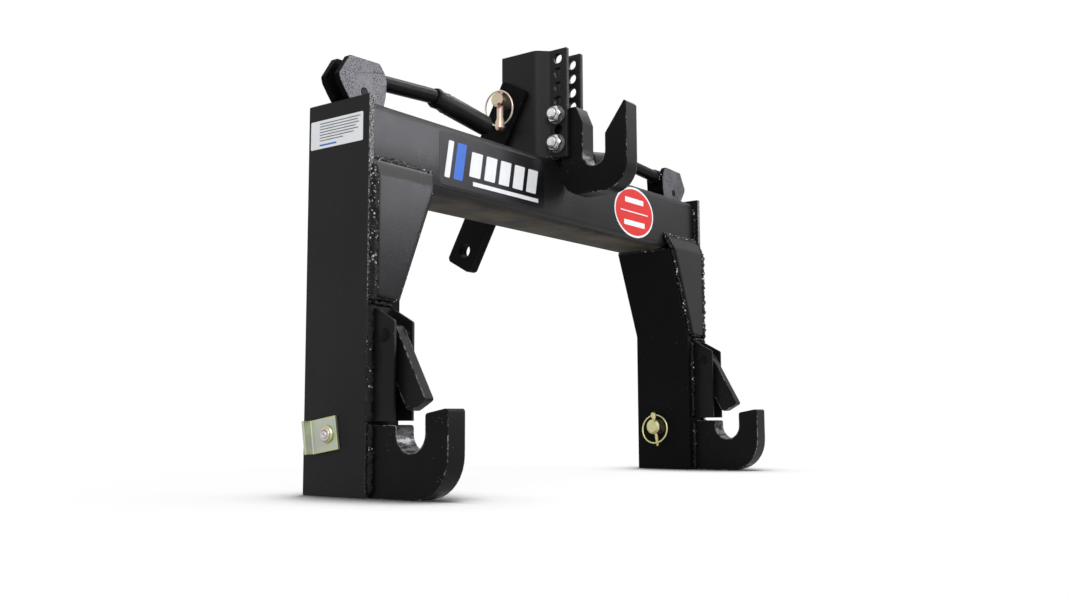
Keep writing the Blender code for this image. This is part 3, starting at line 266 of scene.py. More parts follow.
class Finish:
    """A material with a Principled shader, whose constants are set by name."""

    def __init__(self, name, **constants):
        self.material = bpy.data.materials.new(name)
        self.material.use_nodes = True
        self.tree = self.material.node_tree
        self.shader = self.tree.nodes["Principled BSDF"]
        self.sockets = {socket.name.lower().replace(" ", "_"): socket for socket in self.shader.inputs}
        self.set(**constants)

    def node(self, kind, settings, inputs, output=0):
        """Any node: its type, its settings, the values or links of its sockets, and the output to use."""
        node = self.tree.nodes.new(kind)
        for key, value in settings.items():
            setattr(node, key, value)
        for key, value in inputs.items():
            self.feed(node.inputs[key], value)
        return Value(self, node.outputs[output])

    def feed(self, socket, value):
        """Links a value to a socket, or sets a number or colour there."""
        if isinstance(value, Value):
            self.tree.links.new(value.socket, socket)
        elif socket.type == "RGBA":
            socket.default_value = (*value, 1)
        else:
            socket.default_value = value

    def set(self, **inputs):
        """Sets or links the shader's own sockets."""
        for key, value in inputs.items():
            self.feed(self.sockets[key], value)

    def now(self, key):
        """What a socket of the shader gets so far."""
        return Value(self, self.sockets[key].links[0].from_socket)

    def spot(self):
        """Where on the object a point lies, in metres."""
        return self.node("ShaderNodeTexCoord", {}, {}, "Object")

    def place(self, offset, stretch=(1, 1, 1)):
        """The same, shifted and stretched."""
        inputs = {"Vector": self.spot(), "Location": offset, "Scale": stretch}
        return self.node("ShaderNodeMapping", {}, inputs)

    def axis(self, letter):
        return self.node("ShaderNodeSeparateXYZ", {}, {0: self.spot()}, letter)

    def noise(self, scale, detail=3.0, roughness=0.55, offset=(0, 0, 0), stretch=(1, 1, 1)):
        inputs = {"Vector": self.place(offset, stretch), "Scale": scale, "Detail": detail,
                  "Roughness": roughness}
        return self.node("ShaderNodeTexNoise", {}, inputs)

    def cells(self, scale, offset=(0, 0, 0)):
        """Distance to the nearest of many scattered points."""
        inputs = {"Vector": self.place(offset), "Scale": scale}
        return self.node("ShaderNodeTexVoronoi", {}, inputs, "Distance")

    def mix(self, factor, first, second):
        """Goes from the first colour to the second as the factor grows from 0 to 1."""
        return self.node("ShaderNodeMix", {"data_type": "RGBA"}, {0: factor, 6: first, 7: second}, 2)

    def bump(self, height, strength, distance, bend=0.0):
        """Raised detail. With a bend, folds look rounded by that radius."""
        inputs = {"Height": height, "Strength": strength, "Distance": distance}
        if bend:
            inputs["Normal"] = self.rounded(bend)
        return self.node("ShaderNodeBump", {}, inputs)

    def rounded(self, radius):
        """Direction that the surface would face if its edges were rounded."""
        return self.node("ShaderNodeBevel", {"samples": 6}, {"Radius": radius})

    def edges(self, width):
        """1 along sharp edges and 0 on the faces between them."""
        straight = self.node("ShaderNodeNewGeometry", {}, {}, "Normal")
        inputs = {0: self.rounded(width), 1: straight}
        agree = self.node("ShaderNodeVectorMath", {"operation": "DOT_PRODUCT"}, inputs, "Value")
        return agree.ramp(0.985, 0.90)


PALE_DUST = (0.34, 0.33, 0.32)
UNDERSIDE_BROWN = (0.056, 0.045, 0.026)
CHIP_AND_HIGHLIGHT = (0.30, 0.29, 0.28)
GRAIN = (0.36, 0.355, 0.35)
PIT = (0.006, 0.006, 0.008)
RUBBED_STEEL = (0.22, 0.215, 0.22)


def powder_coat(name, shade, shine, gloss=0.34, peel=0.30, specks=0.4, chips_and_highlights=0.0, offset=(0, 0, 0),
                bend=0.0):
    """Satin black powder coat with orange peel, craters, a little pale dust and pale marks along its
    edges that are chipped coat and, in part, painted edge highlights.
    """
    coat = Finish(name, metallic=0.0, specular_ior_level=shine)
    fine = coat.noise(460, 2.0, 0.5, offset)
    broad = coat.noise(13, 4.0, 0.6, offset)
    rough_areas = coat.noise(55, 2.0, 0.5, offset).ramp(0.50, 0.64)
    craters = coat.cells(300, offset).ramp(0.20, 0.06) * rough_areas
    dusty_areas = coat.noise(31, 2.0, 0.5, offset).ramp(0.54, 0.63)
    dots = coat.cells(230, offset).ramp(0.10, 0.04) * dusty_areas
    haze = coat.noise(5.5, 5.0, 0.62, offset).ramp(0.42, 0.78)
    black = coat.mix(haze, (shade, 0.97 * shade, 1.08 * shade),
                     (1.8 * shade, 1.72 * shade, 1.84 * shade))
    colour = coat.mix(dots * specks, black, PALE_DUST)
    rough = gloss + 0.12 * broad + 0.08 * haze
    if chips_and_highlights:
        # Pale marks along sharp edges: chipped coat, and partly painted highlights that stand in for
        # light caught by the edges.
        ragged = coat.noise(150, 5.0, 0.72, offset) + 0.5 * coat.noise(24, 2.0, 0.5, offset)
        bare_and_highlit = coat.edges(0.0020) * ragged.ramp(0.90 - 0.2 * chips_and_highlights, 1.02 - 0.2 * chips_and_highlights)
        colour = coat.mix(bare_and_highlit, colour, CHIP_AND_HIGHLIGHT)
        rough = rough - 0.08 * bare_and_highlit
    coat.set(base_color=colour, roughness=rough,
             normal=coat.bump(fine * 0.6 + broad * 0.5 - craters * 0.9, peel, 0.0007, bend))
    return coat


def beam_coat(name):
    """Powder coat of the beam: dull along its top corners and tinted brown in patches underneath."""
    coat = powder_coat(name, 0.0060, 0.145, gloss=0.21, offset=(0.4, 0.9, 0.2))
    crown = coat.axis("Z").ramp(BEAM_HIGH.z - 0.009, BEAM_HIGH.z - 0.003)
    under = coat.axis("Z").ramp(BEAM_LOW.z + 0.0040, BEAM_LOW.z + 0.0004)
    # Tinted brown in patches towards the underside.
    tint_patches = under * coat.noise(15, 5.0, 0.65, (0.3, 0.3, 0.3)).ramp(0.25, 0.75)
    coat.set(base_color=coat.mix(tint_patches, coat.now("base_color"), UNDERSIDE_BROWN),
             roughness=coat.now("roughness") + 0.36 * crown + 0.45 * under)
    return coat


def cut_edge_coat(name):
    """Powder coat of a side plate: smooth on its faces, rough and spattered on its front edge."""
    coat = powder_coat(name, 0.0068, 0.15, gloss=0.42, peel=0.22, specks=0.25, offset=(0.5, 0.2, 0.1))
    edge = coat.axis("Y").ramp(FRONT + 0.0014, FRONT + 0.0004)
    high = coat.axis("Z").ramp(0.17, 0.23)
    grains = (coat.noise(620, 3.0, 0.7) + 0.12 * high).ramp(0.58, 0.70)
    height = coat.noise(460, 2.0) * 0.25 + edge * coat.noise(230, 4.0, 0.7) * 1.8
    coat.set(base_color=coat.mix(edge * grains, coat.now("base_color"), GRAIN),
             roughness=coat.now("roughness") - 0.12 * edge,
             normal=coat.bump(height, 0.6, 0.0012))
    return coat


def pitted_coat(name, front):
    """Powder coat of a cam plate, whose glossy front face shows the pits of the rough plate under it."""
    coat = powder_coat(name, 0.0026, 0.015, peel=0.5, offset=(0.1, 0.7, 0.3))
    face = coat.axis("Y").ramp(front + 0.0008, front + 0.0002)
    clusters = coat.noise(36, 4.0, 0.7, (0.2, 0.4, 0.1)).ramp(0.34, 0.56)
    pits = coat.cells(600, (0.2, 0.4, 0.1)).ramp(0.48, 0.28) * clusters
    cloud = coat.noise(26, 5.0, 0.68).ramp(0.30, 0.72)
    # The front face is a lighter grey than the rest of the plate, in clouds.
    pale_front = coat.mix(cloud, (0.050, 0.049, 0.057), (0.090, 0.087, 0.101))
    height = coat.noise(300, 4.0, 0.75) * 0.6 - pits + coat.noise(90, 2.0) * 0.5
    coat.set(base_color=coat.mix(face, coat.now("base_color"), coat.mix(pits * 0.9, pale_front, PIT)),
             roughness=coat.now("roughness") + 0.15 * face * pits,
             normal=coat.bump(height, 0.6, 0.0012),
             coat_weight=face * (0.60 - 0.50 * pits), coat_roughness=0.36)
    return coat


def weld_skin(name, shine, glint_share):
    """Coated weld metal: glossy lumps, pinholes, and pale spots painted on as glints, whose share grows
    with the third argument.
    """
    coat = Finish(name, metallic=0.0, specular_ior_level=shine)
    ripple = coat.noise(340, 4.0, 0.68)
    pinholes = coat.cells(420).ramp(0.20, 0.05)
    glint_areas = (coat.noise(90, 3.0, 0.65) + 0.1 * glint_share).ramp(0.62, 0.69)
    # Painted glints: pale spots that stand in for light caught on the lumps.
    painted_glints = coat.cells(270).ramp(0.40, 0.20) * glint_areas
    colour = coat.mix(painted_glints, (0.005, 0.005, 0.006), (0.62, 0.61, 0.60))
    coat.set(base_color=colour, roughness=0.10 + 0.16 * ripple,
             normal=coat.bump(ripple - 0.5 * pinholes, 1.0, 0.0018))
    return coat


def zinc(name, pale, warm, cool, gloss=0.26, dirt=0.4, relief=0.14, offset=(0, 0, 0)):
    """Zinc plating whose tint drifts from place to place, with fine drawing marks."""
    plate = Finish(name, metallic=0.93, specular_ior_level=0.5)
    drift = plate.noise(46, 3.0, 0.6, offset).ramp(0.36, 0.66)
    patch = plate.noise(70, 3.0, 0.6, (0.3, 0.1, 0.2)).ramp(0.44, 0.72)
    tint = plate.mix(patch, plate.mix(drift, pale, warm), cool)
    marks = plate.noise(210, 4.0, 0.7, offset, (1, 1, 0.12))
    dull = plate.noise(105, 5.0, 0.7, offset).ramp(0.57, 0.74)
    plate.set(base_color=plate.mix(dull * dirt, tint, (0.30, 0.28, 0.24)),
              roughness=gloss + 0.14 * marks + 0.14 * dull,
              normal=plate.bump(plate.noise(700, 2.0, 0.5, offset) * 0.5 + marks, relief, 0.0003))
    return plate


def flag_zinc():
    """Dull yellow zinc of the sheared flags, greener towards their edges."""
    plate = zinc("yellow_zinc_sheet", (0.50, 0.55, 0.45), (0.52, 0.50, 0.44), (0.44, 0.50, 0.51),
                 gloss=0.42, dirt=0.35, relief=0.3, offset=(0.4, 0.2, 0.6))
    rim = plate.edges(0.0060) * plate.noise(60, 3.0, 0.6).ramp(0.30, 0.55)
    plate.set(base_color=plate.mix(rim * 0.85, plate.now("base_color"), (0.52, 0.54, 0.24)))
    return plate


def rubber(name):
    """Dipped rubber: soft sheen, faint ripples along the grip and dust in the hollows."""
    grip = Finish(name, metallic=0.0, specular_ior_level=0.09)
    soft = grip.noise(620, 3.0, 0.6)
    folds = grip.noise(48, 2.0, 0.5, (0, 0, 0), (3.5, 1, 1))
    tint_patches = grip.noise(20, 5.0, 0.65).ramp(0.46, 0.8)
    grip.set(base_color=grip.mix(tint_patches * 0.7, (0.006, 0.006, 0.006), (0.018, 0.018, 0.018)),
             roughness=0.36 + 0.14 * tint_patches + 0.10 * folds,
             normal=grip.bump(soft * 0.3 + folds, 0.4, 0.0010))
    return grip


def throat_coat(name, centre, radius, shine, offset):
    """Powder coat rubbed through to grey steel where a pin lies in a throat that runs along X."""
    coat = powder_coat(name, 0.0042, shine, gloss=0.32, specks=0.9, chips_and_highlights=0.75, offset=offset)
    y = coat.axis("Y") - centre[0]
    z = coat.axis("Z") - centre[1]
    wall = ((y * y + z * z) ** 0.5).ramp(radius + 0.0020, radius + 0.0003)
    rim = wall * z.ramp(0.010, -0.006)
    streaks = coat.noise(130, 5.0, 0.72, offset, (0.35, 1, 1))
    worn = rim * streaks.ramp(0.40, 0.62)
    coat.set(base_color=coat.mix(worn * 0.85, coat.now("base_color"), RUBBED_STEEL),
             roughness=coat.now("roughness") - 0.06 * worn, metallic=worn * 0.6)
    return coat


def film(name, colour, gloss=0.34, shine=0.14):
    """Printed vinyl film: slightly uneven ink, faint grain and a few scuffs."""
    vinyl = Finish(name, metallic=0.0, specular_ior_level=shine)
    cloud = vinyl.noise(48, 4.0, 0.65)
    scuffs = vinyl.noise(170, 5.0, 0.75, (0, 0, 0), (0.25, 1, 1)).ramp(0.68, 0.74)
    uneven = vinyl.mix(cloud.ramp(0.35, 0.8) * 0.6, colour, tuple(0.86 * part for part in colour))
    vinyl.set(base_color=vinyl.mix(scuffs * 0.3, uneven, (0.30, 0.30, 0.30)),
              roughness=gloss + 0.12 * cloud,
              normal=vinyl.bump(vinyl.noise(700, 2.0) * 0.4 + cloud, 0.2, 0.0003))
    return vinyl


# Copies of one black powder coat whose shade and shine are set part by part to how lit each looks: the
# darker ones, for the channel walls, drop links and rear cam plates, are painted shade.
PAINT = beam_coat("powder_coat")
PAINT_WALL_SHADED = powder_coat("powder_coat_channels", 0.0042, 0.040, gloss=0.45, offset=(0.7, 0.2, 0.4))
PAINT_GUSSET = powder_coat("powder_coat_gussets", 0.0060, 0.125, gloss=0.20, peel=0.20,
                           offset=(0.2, 0.5, 0.9), bend=0.0055)
PAINT_MAST = powder_coat("powder_coat_mast", 0.0075, 0.18, gloss=0.36, chips_and_highlights=0.1,
                         offset=(0.9, 0.3, 0.5), bend=0.003)
PAINT_LINK_SHADED = powder_coat("powder_coat_links", 0.0036, 0.035, gloss=0.42, chips_and_highlights=0.2,
                         offset=(0.5, 0.8, 0.8))
PAINT_PLATE = powder_coat("powder_coat_plates", 0.0055, 0.11, gloss=0.36, chips_and_highlights=0.15,
                          offset=(0.6, 0.6, 0.1))
PAINT_CAM_SHADED = powder_coat("powder_coat_cams", 0.0026, 0.015, peel=0.4, chips_and_highlights=0.4,
                        offset=(0.2, 0.9, 0.4))
PAINT_LATCH = powder_coat("powder_coat_latches", 0.0045, 0.10, peel=0.4, specks=0.8, chips_and_highlights=1.1,
                          offset=(0.3, 0.1, 0.6))
PAINT_ROD = powder_coat("powder_coat_rods", 0.0050, 0.045, gloss=0.24, peel=0.25, specks=0.3,
                        offset=(0.8, 0.1, 0.5))
WELD = weld_skin("weld_coat", 0.15, 1.3)
# The seams low on the hitch get fewer painted glints, as they catch less light.
WELD_LOW = weld_skin("weld_coat_low", 0.16, 0.55)
YELLOW = zinc("yellow_zinc", (0.62, 0.62, 0.26), (0.66, 0.54, 0.30), (0.48, 0.56, 0.32))
RING_ZINC = zinc("ring_zinc", (0.70, 0.67, 0.50), (0.66, 0.50, 0.47), (0.62, 0.67, 0.44),
                 offset=(0.7, 0.1, 0.3))
PINK_ZINC = zinc("rosy_zinc", (0.58, 0.45, 0.33), (0.60, 0.40, 0.36), (0.54, 0.54, 0.34),
                 offset=(0.1, 0.5, 0.2))
FLAG_ZINC = flag_zinc()
BRIGHT = zinc("bright_zinc", (0.66, 0.67, 0.69), (0.52, 0.53, 0.56), (0.78, 0.78, 0.78),
              gloss=0.15, dirt=0.2, relief=0.06)
DULL_ZINC = zinc("dull_zinc", (0.18, 0.18, 0.185), (0.16, 0.145, 0.12), (0.12, 0.12, 0.13),
                 gloss=0.38, dirt=0.5, relief=0.4)
WELD_ZINC = zinc("weld_zinc", (0.60, 0.59, 0.60), (0.62, 0.54, 0.42), (0.46, 0.46, 0.50),
                 gloss=0.34, dirt=0.8, relief=0.5)
SPRING = zinc("spring_wire", (0.20, 0.20, 0.21), (0.16, 0.15, 0.15), (0.25, 0.24, 0.23), gloss=0.30)
RUBBER = rubber("grip_rubber")
NYLON = film("lock_ring_nylon", (0.10, 0.11, 0.13), 0.42, 0.3)
WHITE_FILM = film("white_film", (0.70, 0.71, 0.73))
BLUE_FILM = film("blue_film", (0.030, 0.130, 0.520))
RED_FILM = film("red_film", (0.560, 0.022, 0.016))
BLACK_FILM = film("black_film", (0.005, 0.005, 0.006), 0.26, 0.12)
GREY_FILM = film("grey_film", (0.13, 0.14, 0.16))


def paint(finish, *names):
    """Gives solids another finish."""
    for name in names:
        nodes[name].data.materials[0] = finish.material


def dress_solids():
    """Gives every solid its finish and shades its round faces smooth."""
    by_slot = {"black_paint": PAINT, "yellow_zinc": YELLOW, "bright_zinc": BRIGHT,
               "spring_steel": SPRING, "rubber_grip": RUBBER}
    for part in frame["record"]["subparts"]:
        node = nodes[part["node"]]
        node.data.materials.clear()
        node.data.materials.append(by_slot[part["material_slot"]].material)
        node.data.shade_smooth()
        weld = node.modifiers.new("weld", "WELD")
        weld.merge_threshold = 0.00001
        split = node.modifiers.new("creases", "EDGE_SPLIT")
        split.split_angle = math.radians(32)
    side_coat = cut_edge_coat("side_plate_coat")
    cam_coat = pitted_coat("cam_plate_coat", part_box("left_cam_plate_front")[0].y)
    for side, sign in SIDES:
        paint(side_coat, f"{side}_side_plate")
        paint(PAINT_WALL_SHADED, f"{side}_channel")
        paint(PAINT_GUSSET, f"{side}_gusset")
        paint(PAINT_MAST, f"{side}_mast_plate")
        paint(PAINT_LINK_SHADED, f"{side}_drop_link_bar")
        paint(PAINT_PLATE, f"{side}_latch_bracket")
        paint(PAINT_LATCH, f"{side}_latch")
        # The cam pins get the black coat as painted shade, because their place lies in shadow; the latch
        # pins are black painted.
        paint(PAINT_ROD, f"{side}_handle_rod", f"{side}_cam_pin", f"{side}_latch_pin")
        paint(FLAG_ZINC, f"{side}_hitch_pin_flag")
        paint(throat_coat(f"{side}_hook_coat", HOOK_THROAT, HOOK_THROAT_RADIUS, 0.065,
                          (0.1 * sign, 0, 0)), f"{side}_hook")
        paint(PAINT_CAM_SHADED, f"{side}_cam_plate_rear")
        paint(cam_coat, f"{side}_cam_plate_front")
    paint(throat_coat("top_hook_coat", TOP_THROAT, TOP_THROAT_RADIUS, 0.08, (0.2, 0.2, 0.2)),
          "top_hook")
    paint(PINK_ZINC, "top_link_pin", "top_linchpin")
    for where in ("upper", "lower"):
        paint(DULL_ZINC, f"hook_washer_{where}_nut", f"hook_washer_{where}_head")


# Weld beads

COARSE_LUMPS = ("coarse_lumps", 0.0042)         # name and size
FINE_LUMPS = ("fine_lumps", 0.0016)
SPATTER_COUNT = 10                              # drops beside one seam


def lumps(name, size):
    """Cloud texture that makes a bead lumpy."""
    cloud = bpy.data.textures.get(name) or bpy.data.textures.new(name, "CLOUDS")
    cloud.noise_scale = size
    cloud.noise_depth = 3
    return cloud


def bead(name, start, end, radius):
    """A lumpy bead with tapered ends, from start to end."""
    run = end - start
    deselect()
    bpy.ops.mesh.primitive_cylinder_add(vertices=10, radius=radius, depth=run.length)
    edit()
    choose("EDGE", lambda along: abs(along.z) > 0.9 * run.length)
    bpy.ops.mesh.subdivide(number_cuts=max(5, int(run.length / (0.6 * radius))))
    choose("VERT", lambda spot: abs(spot.z) > 0.499 * run.length)
    bpy.ops.transform.resize(value=(0.45, 0.45, 1))
    edit(False)
    active().rotation_euler = run.to_track_quat("Z", "Y").to_euler()
    active().location = (start + end) / 2
    piece = settle(name)
    modify("DISPLACE", texture=lumps(*COARSE_LUMPS), strength=1.5 * radius, mid_level=0.5)
    modify("DISPLACE", texture=lumps(*FINE_LUMPS), strength=0.9 * radius, mid_level=0.5)
    piece.data.shade_smooth()
    return piece


def weld_drop():
    """Flattened drop of weld metal, 1 mm in radius."""
    deselect()
    bpy.ops.mesh.primitive_ico_sphere_add(subdivisions=2, radius=0.001)
    edit()
    choose("VERT", lambda spot: spot.y > 0.0004)
    bpy.ops.transform.resize(value=(1.15, 0.5, 1.15))
    edit(False)
    piece = settle("drop_model")
    piece.data.shade_smooth()
    return piece


def spatter(drop, start, end, count, spread):
    """Drops of weld metal beside a seam."""
    drops = []
    for _ in range(count):
        along = start.lerp(end, random.random())
        beside = Vector([random.uniform(-spread, spread) for _ in range(2)] + [0])
        size = random.uniform(0.5, 1.1)
        stretch = (size, size, size * random.uniform(0.8, 1.5))
        drops.append(copy_of(drop, "drop", along + beside, stretch))
    return drops


def upright(x, y, low, high, radius):
    """Start, end and radius of a seam that runs up."""
    return (x, y, low), (x, y, high), radius


def backward(x, z, near, far, radius):
    """The same for a seam that runs from front to back."""
    return (x, near, z), (x, far, z), radius


def weld_runs():
    """Seams of the right half, with Y from the side plates' front edges."""
    channel_low, channel_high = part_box("right_channel")
    gusset_low, gusset_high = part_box("right_gusset")
    mast_low, mast_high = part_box("right_mast_plate")
    hook_low, hook_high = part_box("right_hook")
    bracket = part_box("right_latch_bracket")[0].x
    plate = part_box("right_side_plate")[0].x
    front = BEAM_LOW.y - FRONT
    back = BEAM_HIGH.y - FRONT
    over, under = BEAM_HIGH.z + 0.0006, BEAM_LOW.z - 0.0006
    foot = plate - CHANNEL_REACH
    foot_height, bend_height, top_height = gusset_low.z, channel_high.z, gusset_high.z
    lean_start = foot_height - 0.001
    inset = 0.0066

    def wall(height):
        """X of the channel wall's inner face, which leans in above its bend."""
        lean = max(0, height - lean_start) / (channel_high.z - lean_start)
        return foot - lean * (foot - channel_low.x)

    bend = (wall(bend_height) + inset, -0.0012, bend_height)
    return {
        "hook_outer": upright(plate + 0.0016, -0.0016, 0.005, hook_high.z - 0.014, 0.0040),
        "hook_inner": upright(hook_low.x - 0.0016, -0.0006, 0.003, 0.072, 0.0032),
        "bracket_outer": upright(plate + 0.0030, -0.0016, 0.076, 0.197, 0.0044),
        "bracket_inner": upright(bracket - 0.0015, -0.0004, 0.079, 0.193, 0.0030),
        "bracket_top": ((bracket + 0.001, -0.0016, 0.1965), (plate + 0.001, -0.0016, 0.1985), 0.0026),
        "gusset_outer": upright(plate + 0.0016, -0.0030, 0.199, 0.333, 0.0044),
        "gusset_top_outer": ((plate + 0.0006, -0.0026, 0.332), (plate + 0.0006, front - 0.001, 0.354),
                             0.0036),
        "gusset_bottom": ((plate - 0.002, -0.0016, foot_height - 0.0006),
                          (foot + 0.008, -0.0016, foot_height - 0.0006), 0.0022),
        "gusset_inner": ((foot + inset, -0.0012, foot_height), bend, 0.0026),
        "gusset_shoulder": (bend, (wall(top_height) + 0.0076, front - 0.001, top_height), 0.0022),
        "gusset_top": ((wall(top_height) + 0.007, front - 0.0010, top_height + 0.0008),
                       (plate - 0.001, front - 0.0010, top_height + 0.0014), 0.0042),
        "beam_front": upright(plate + 0.0006, front - 0.0006, 0.352, 0.406, 0.0027),
        "beam_top": backward(plate - 0.0004, over, front + 0.010, front + 0.033, 0.0018),
        "beam_back": upright(plate - 0.0010, back + 0.0004, BEAM_LOW.z + 0.004, 0.408, 0.0022),
        "beam_under": backward(plate - 0.0012, under, 0.012, back - 0.006, 0.0024),
        "wall_top": backward(wall(bend_height) - 0.0006, BEAM_LOW.z - 0.0008, 0.006, 0.088, 0.0022),
        "mast_outer": backward(mast_high.x + 0.0004, mast_low.z, 0.038, 0.084, 0.0028),
        "mast_front": backward(mast_low.x + 0.0068, mast_low.z, 0.008, 0.020, 0.0028),
    }


def add_beads():
    """Weld beads of both halves, with spatter beside the outer ones."""
    drop = weld_drop()
    for side, sign in SIDES:
        drops = []
        for where, (start, end, radius) in weld_runs().items():
            ends = [Vector((sign * x, y + FRONT, z)) for x, y, z in (start, end)]
            # The hook and bracket seams take the coat with fewer painted glints.
            skin = WELD_LOW if where.startswith(("hook", "bracket")) else WELD
            ride(bead(f"{side}_weld_{where}", *ends, radius), "frame", skin)
            if "outer" in where and "mast" not in where:
                drops += spatter(drop, *ends, SPATTER_COUNT, 0.9 * radius)
        ride(join(drops, f"{side}_weld_spatter"), "frame", WELD)
    bpy.data.objects.remove(drop)


# Handle beads, grips, springs and rings

def add_grips():
    """Rubber grip with a rolled rim, a slight waist and a domed end, over the end of each handle."""
    name = "right_handle_grip"
    middle, along, near, far = lie_of(name)
    if along.x > 0:
        along, near, far = -along, -far, -near
    length = far - near
    deselect()
    bpy.ops.mesh.primitive_cylinder_add(vertices=48, radius=GRIP_RADIUS, depth=length)
    edit()
    choose("EDGE", lambda run: abs(run.z) > 0.9 * length)
    bpy.ops.mesh.subdivide(number_cuts=23)
    waist = ((0.46, 0.985), (0.42, 0.93), (0.375, 0.91), (0.33, 0.925), (0.25, 0.95), (0.17, 0.97),
             (0.08, 0.985))
    for share, scale in waist:
        choose("VERT", lambda spot: abs(spot.z / length + share) < 0.021)
        bpy.ops.transform.resize(value=(scale, scale, 1))
    choose("FACE", lambda spot: spot.z > 0.499 * length)
    bpy.ops.mesh.bevel(offset=0.005, segments=6, affect="EDGES")
    choose("FACE", lambda spot: spot.z < -0.499 * length)
    bpy.ops.transform.resize(value=(0.86, 0.86, 1))
    bpy.ops.mesh.inset(thickness=0.86 * GRIP_RADIUS - GRIP_BORE)
    bpy.ops.mesh.extrude_region_move(TRANSFORM_OT_translate={"value": (0, 0, length - GRIP_END)})
    edit(False)
    modify("BEVEL", width=0.0007, segments=2, limit_method="ANGLE", angle_limit=math.radians(50))
    active().rotation_euler = along.to_track_quat("Z", "Y").to_euler()
    active().location = middle + along * (near + far) / 2
    piece = settle(name + "_moulded")
    piece.data.shade_smooth()
    bpy.ops.object.shade_smooth_by_angle(angle=math.radians(50))
    ride_pair(piece, "right_handle", RUBBER, name)


def add_tang_beads():
    """Beads where each handle's rod leaves its cam plates."""
    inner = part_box("right_cam_plate_front")[0].x + 0.0008
    for side, sign in SIDES:
        for where, shift in (("front", -0.0082), ("rear", 0.0082)):
            ends = [Vector((sign * inner, HANDLE_Y + shift, BEAM_HIGH.z + level))
                    for level in (0.030, 0.047)]
            ride(bead(f"{side}_tang_weld_{where}", *ends, 0.0024), f"{side}_handle", WELD)


def add_flag_welds():
    """Round weld that closes the end of each lower pin in its flag."""
    low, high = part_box("right_hitch_pin")
    centre = Vector((high.x, (low.y + high.y) / 2, (low.z + high.z) / 2))
    runs = [hoop("outer_run", 0.0058, 0.0019, 40, 10, centre, OUT),
            hoop("inner_run", 0.0024, 0.0021, 40, 10, centre + Vector((0, 0.0009, -0.0009)), OUT)]
    weld = join(runs, "right_flag_weld")
    modify("DISPLACE", texture=lumps(*COARSE_LUMPS), strength=0.0014, mid_level=0.5)
    ride_pair(weld, "frame", WELD_ZINC)


def add_springs():
    """Coils of round wire with closed ends, in the place of the coarse ones."""
    low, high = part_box("right_return_spring")
    middle = (low + high) / 2
    radius = (high.x - low.x) / 2 - SPRING_WIRE
    dead = 2 * SPRING_WIRE + 0.0002
    open_rise = high.z - low.z - 2 * SPRING_WIRE - 2 * dead
    coils = []
    level = low.z + SPRING_WIRE
    for count, rise in ((1, dead), (SPRING_TURNS, open_rise), (1, dead)):
        deselect()
        bpy.ops.mesh.primitive_circle_add(vertices=12, radius=SPRING_WIRE,
                                          rotation=(math.pi / 2, 0, 0), location=(radius, 0, 0))
        bpy.ops.object.transform_apply(location=True, rotation=True, scale=True)
        modify("SCREW", angle=2 * math.pi * count, screw_offset=rise, steps=36 * count,
               render_steps=36 * count, iterations=1)
        active().location = (middle.x, middle.y, level)
        bpy.ops.object.transform_apply(location=True)
        coils.append(active())
        level += rise
    spring = join(coils, "right_return_spring_wound")
    edit()
    bpy.ops.mesh.select_mode(type="VERT")
    bpy.ops.mesh.select_all(action="SELECT")
    bpy.ops.mesh.remove_doubles(threshold=0.00005)
    bpy.ops.mesh.select_all(action="DESELECT")
    bpy.ops.mesh.select_non_manifold()
    bpy.ops.mesh.edge_face_add()
    edit(False)
    outward()
    spring.data.shade_smooth()
    bpy.ops.object.shade_smooth_by_angle(angle=math.radians(60))
    twin = copy_of(spring, "left_return_spring_wound", (-2 * middle.x, 0, 0))
    for side, piece, x in (("right", spring, middle.x), ("left", twin, -middle.x)):
        ride(piece, "frame", SPRING)
        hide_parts(f"{side}_return_spring")
        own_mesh(piece)


def ring_of(node, wire):
    """Spring ring of a linch pin, as one smooth loop of wire in the node's place."""
    low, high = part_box(node)
    middle = (low + high) / 2
    arms = [vertex.co - middle for vertex in nodes[node].data.vertices]
    first = max(arms, key=lambda arm: arm.length)
    second = max(arms, key=lambda arm: arm.cross(first).length)
    facing = first.cross(second).normalized()
    return hoop(node + "_wire", first.length - wire, wire, 80, 14, middle, facing)


def add_rings():
    """Smooth rings of the three linch pins."""
    lower, top = "right_linchpin_ring", "top_linchpin_ring"
    ride_pair(ring_of(lower, LOWER_RING_WIRE), lower, YELLOW, lower)
    ring = ride(ring_of(top, TOP_RING_WIRE), top, RING_ZINC)
    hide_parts(top)


def add_lock_details():
    """Nylon ring and thread crests on the open end of each lock nut."""
    low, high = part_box("hook_nut_lower")
    centre = Vector((low.x - 0.0001, (low.y + high.y) / 2, (low.z + high.z) / 2))
    tip = Vector((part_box("hook_bolt_lower")[0].x + 0.0012, centre.y, centre.z))
    lift = (0, 0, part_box("hook_nut_upper")[0].z - low.z)
    ring = hoop("lock_ring_lower", 0.00725, 0.00055, 48, 10, centre, OUT)
    crest = hoop("crest", BOLT_RADIUS, 0.00028, 40, 8, tip, OUT)
    more = [copy_of(crest, "crest", (0.0008 * step, 0, 0)) for step in (1, 2)]
    crests = join([crest] + more, "thread_crests_lower")
    for piece, finish in ((ring, NYLON), (crests, BRIGHT)):
        twin = copy_of(piece, piece.name.replace("lower", "upper"), lift)
        ride(piece, "frame", finish)
        ride(twin, "frame", finish)


# Decals

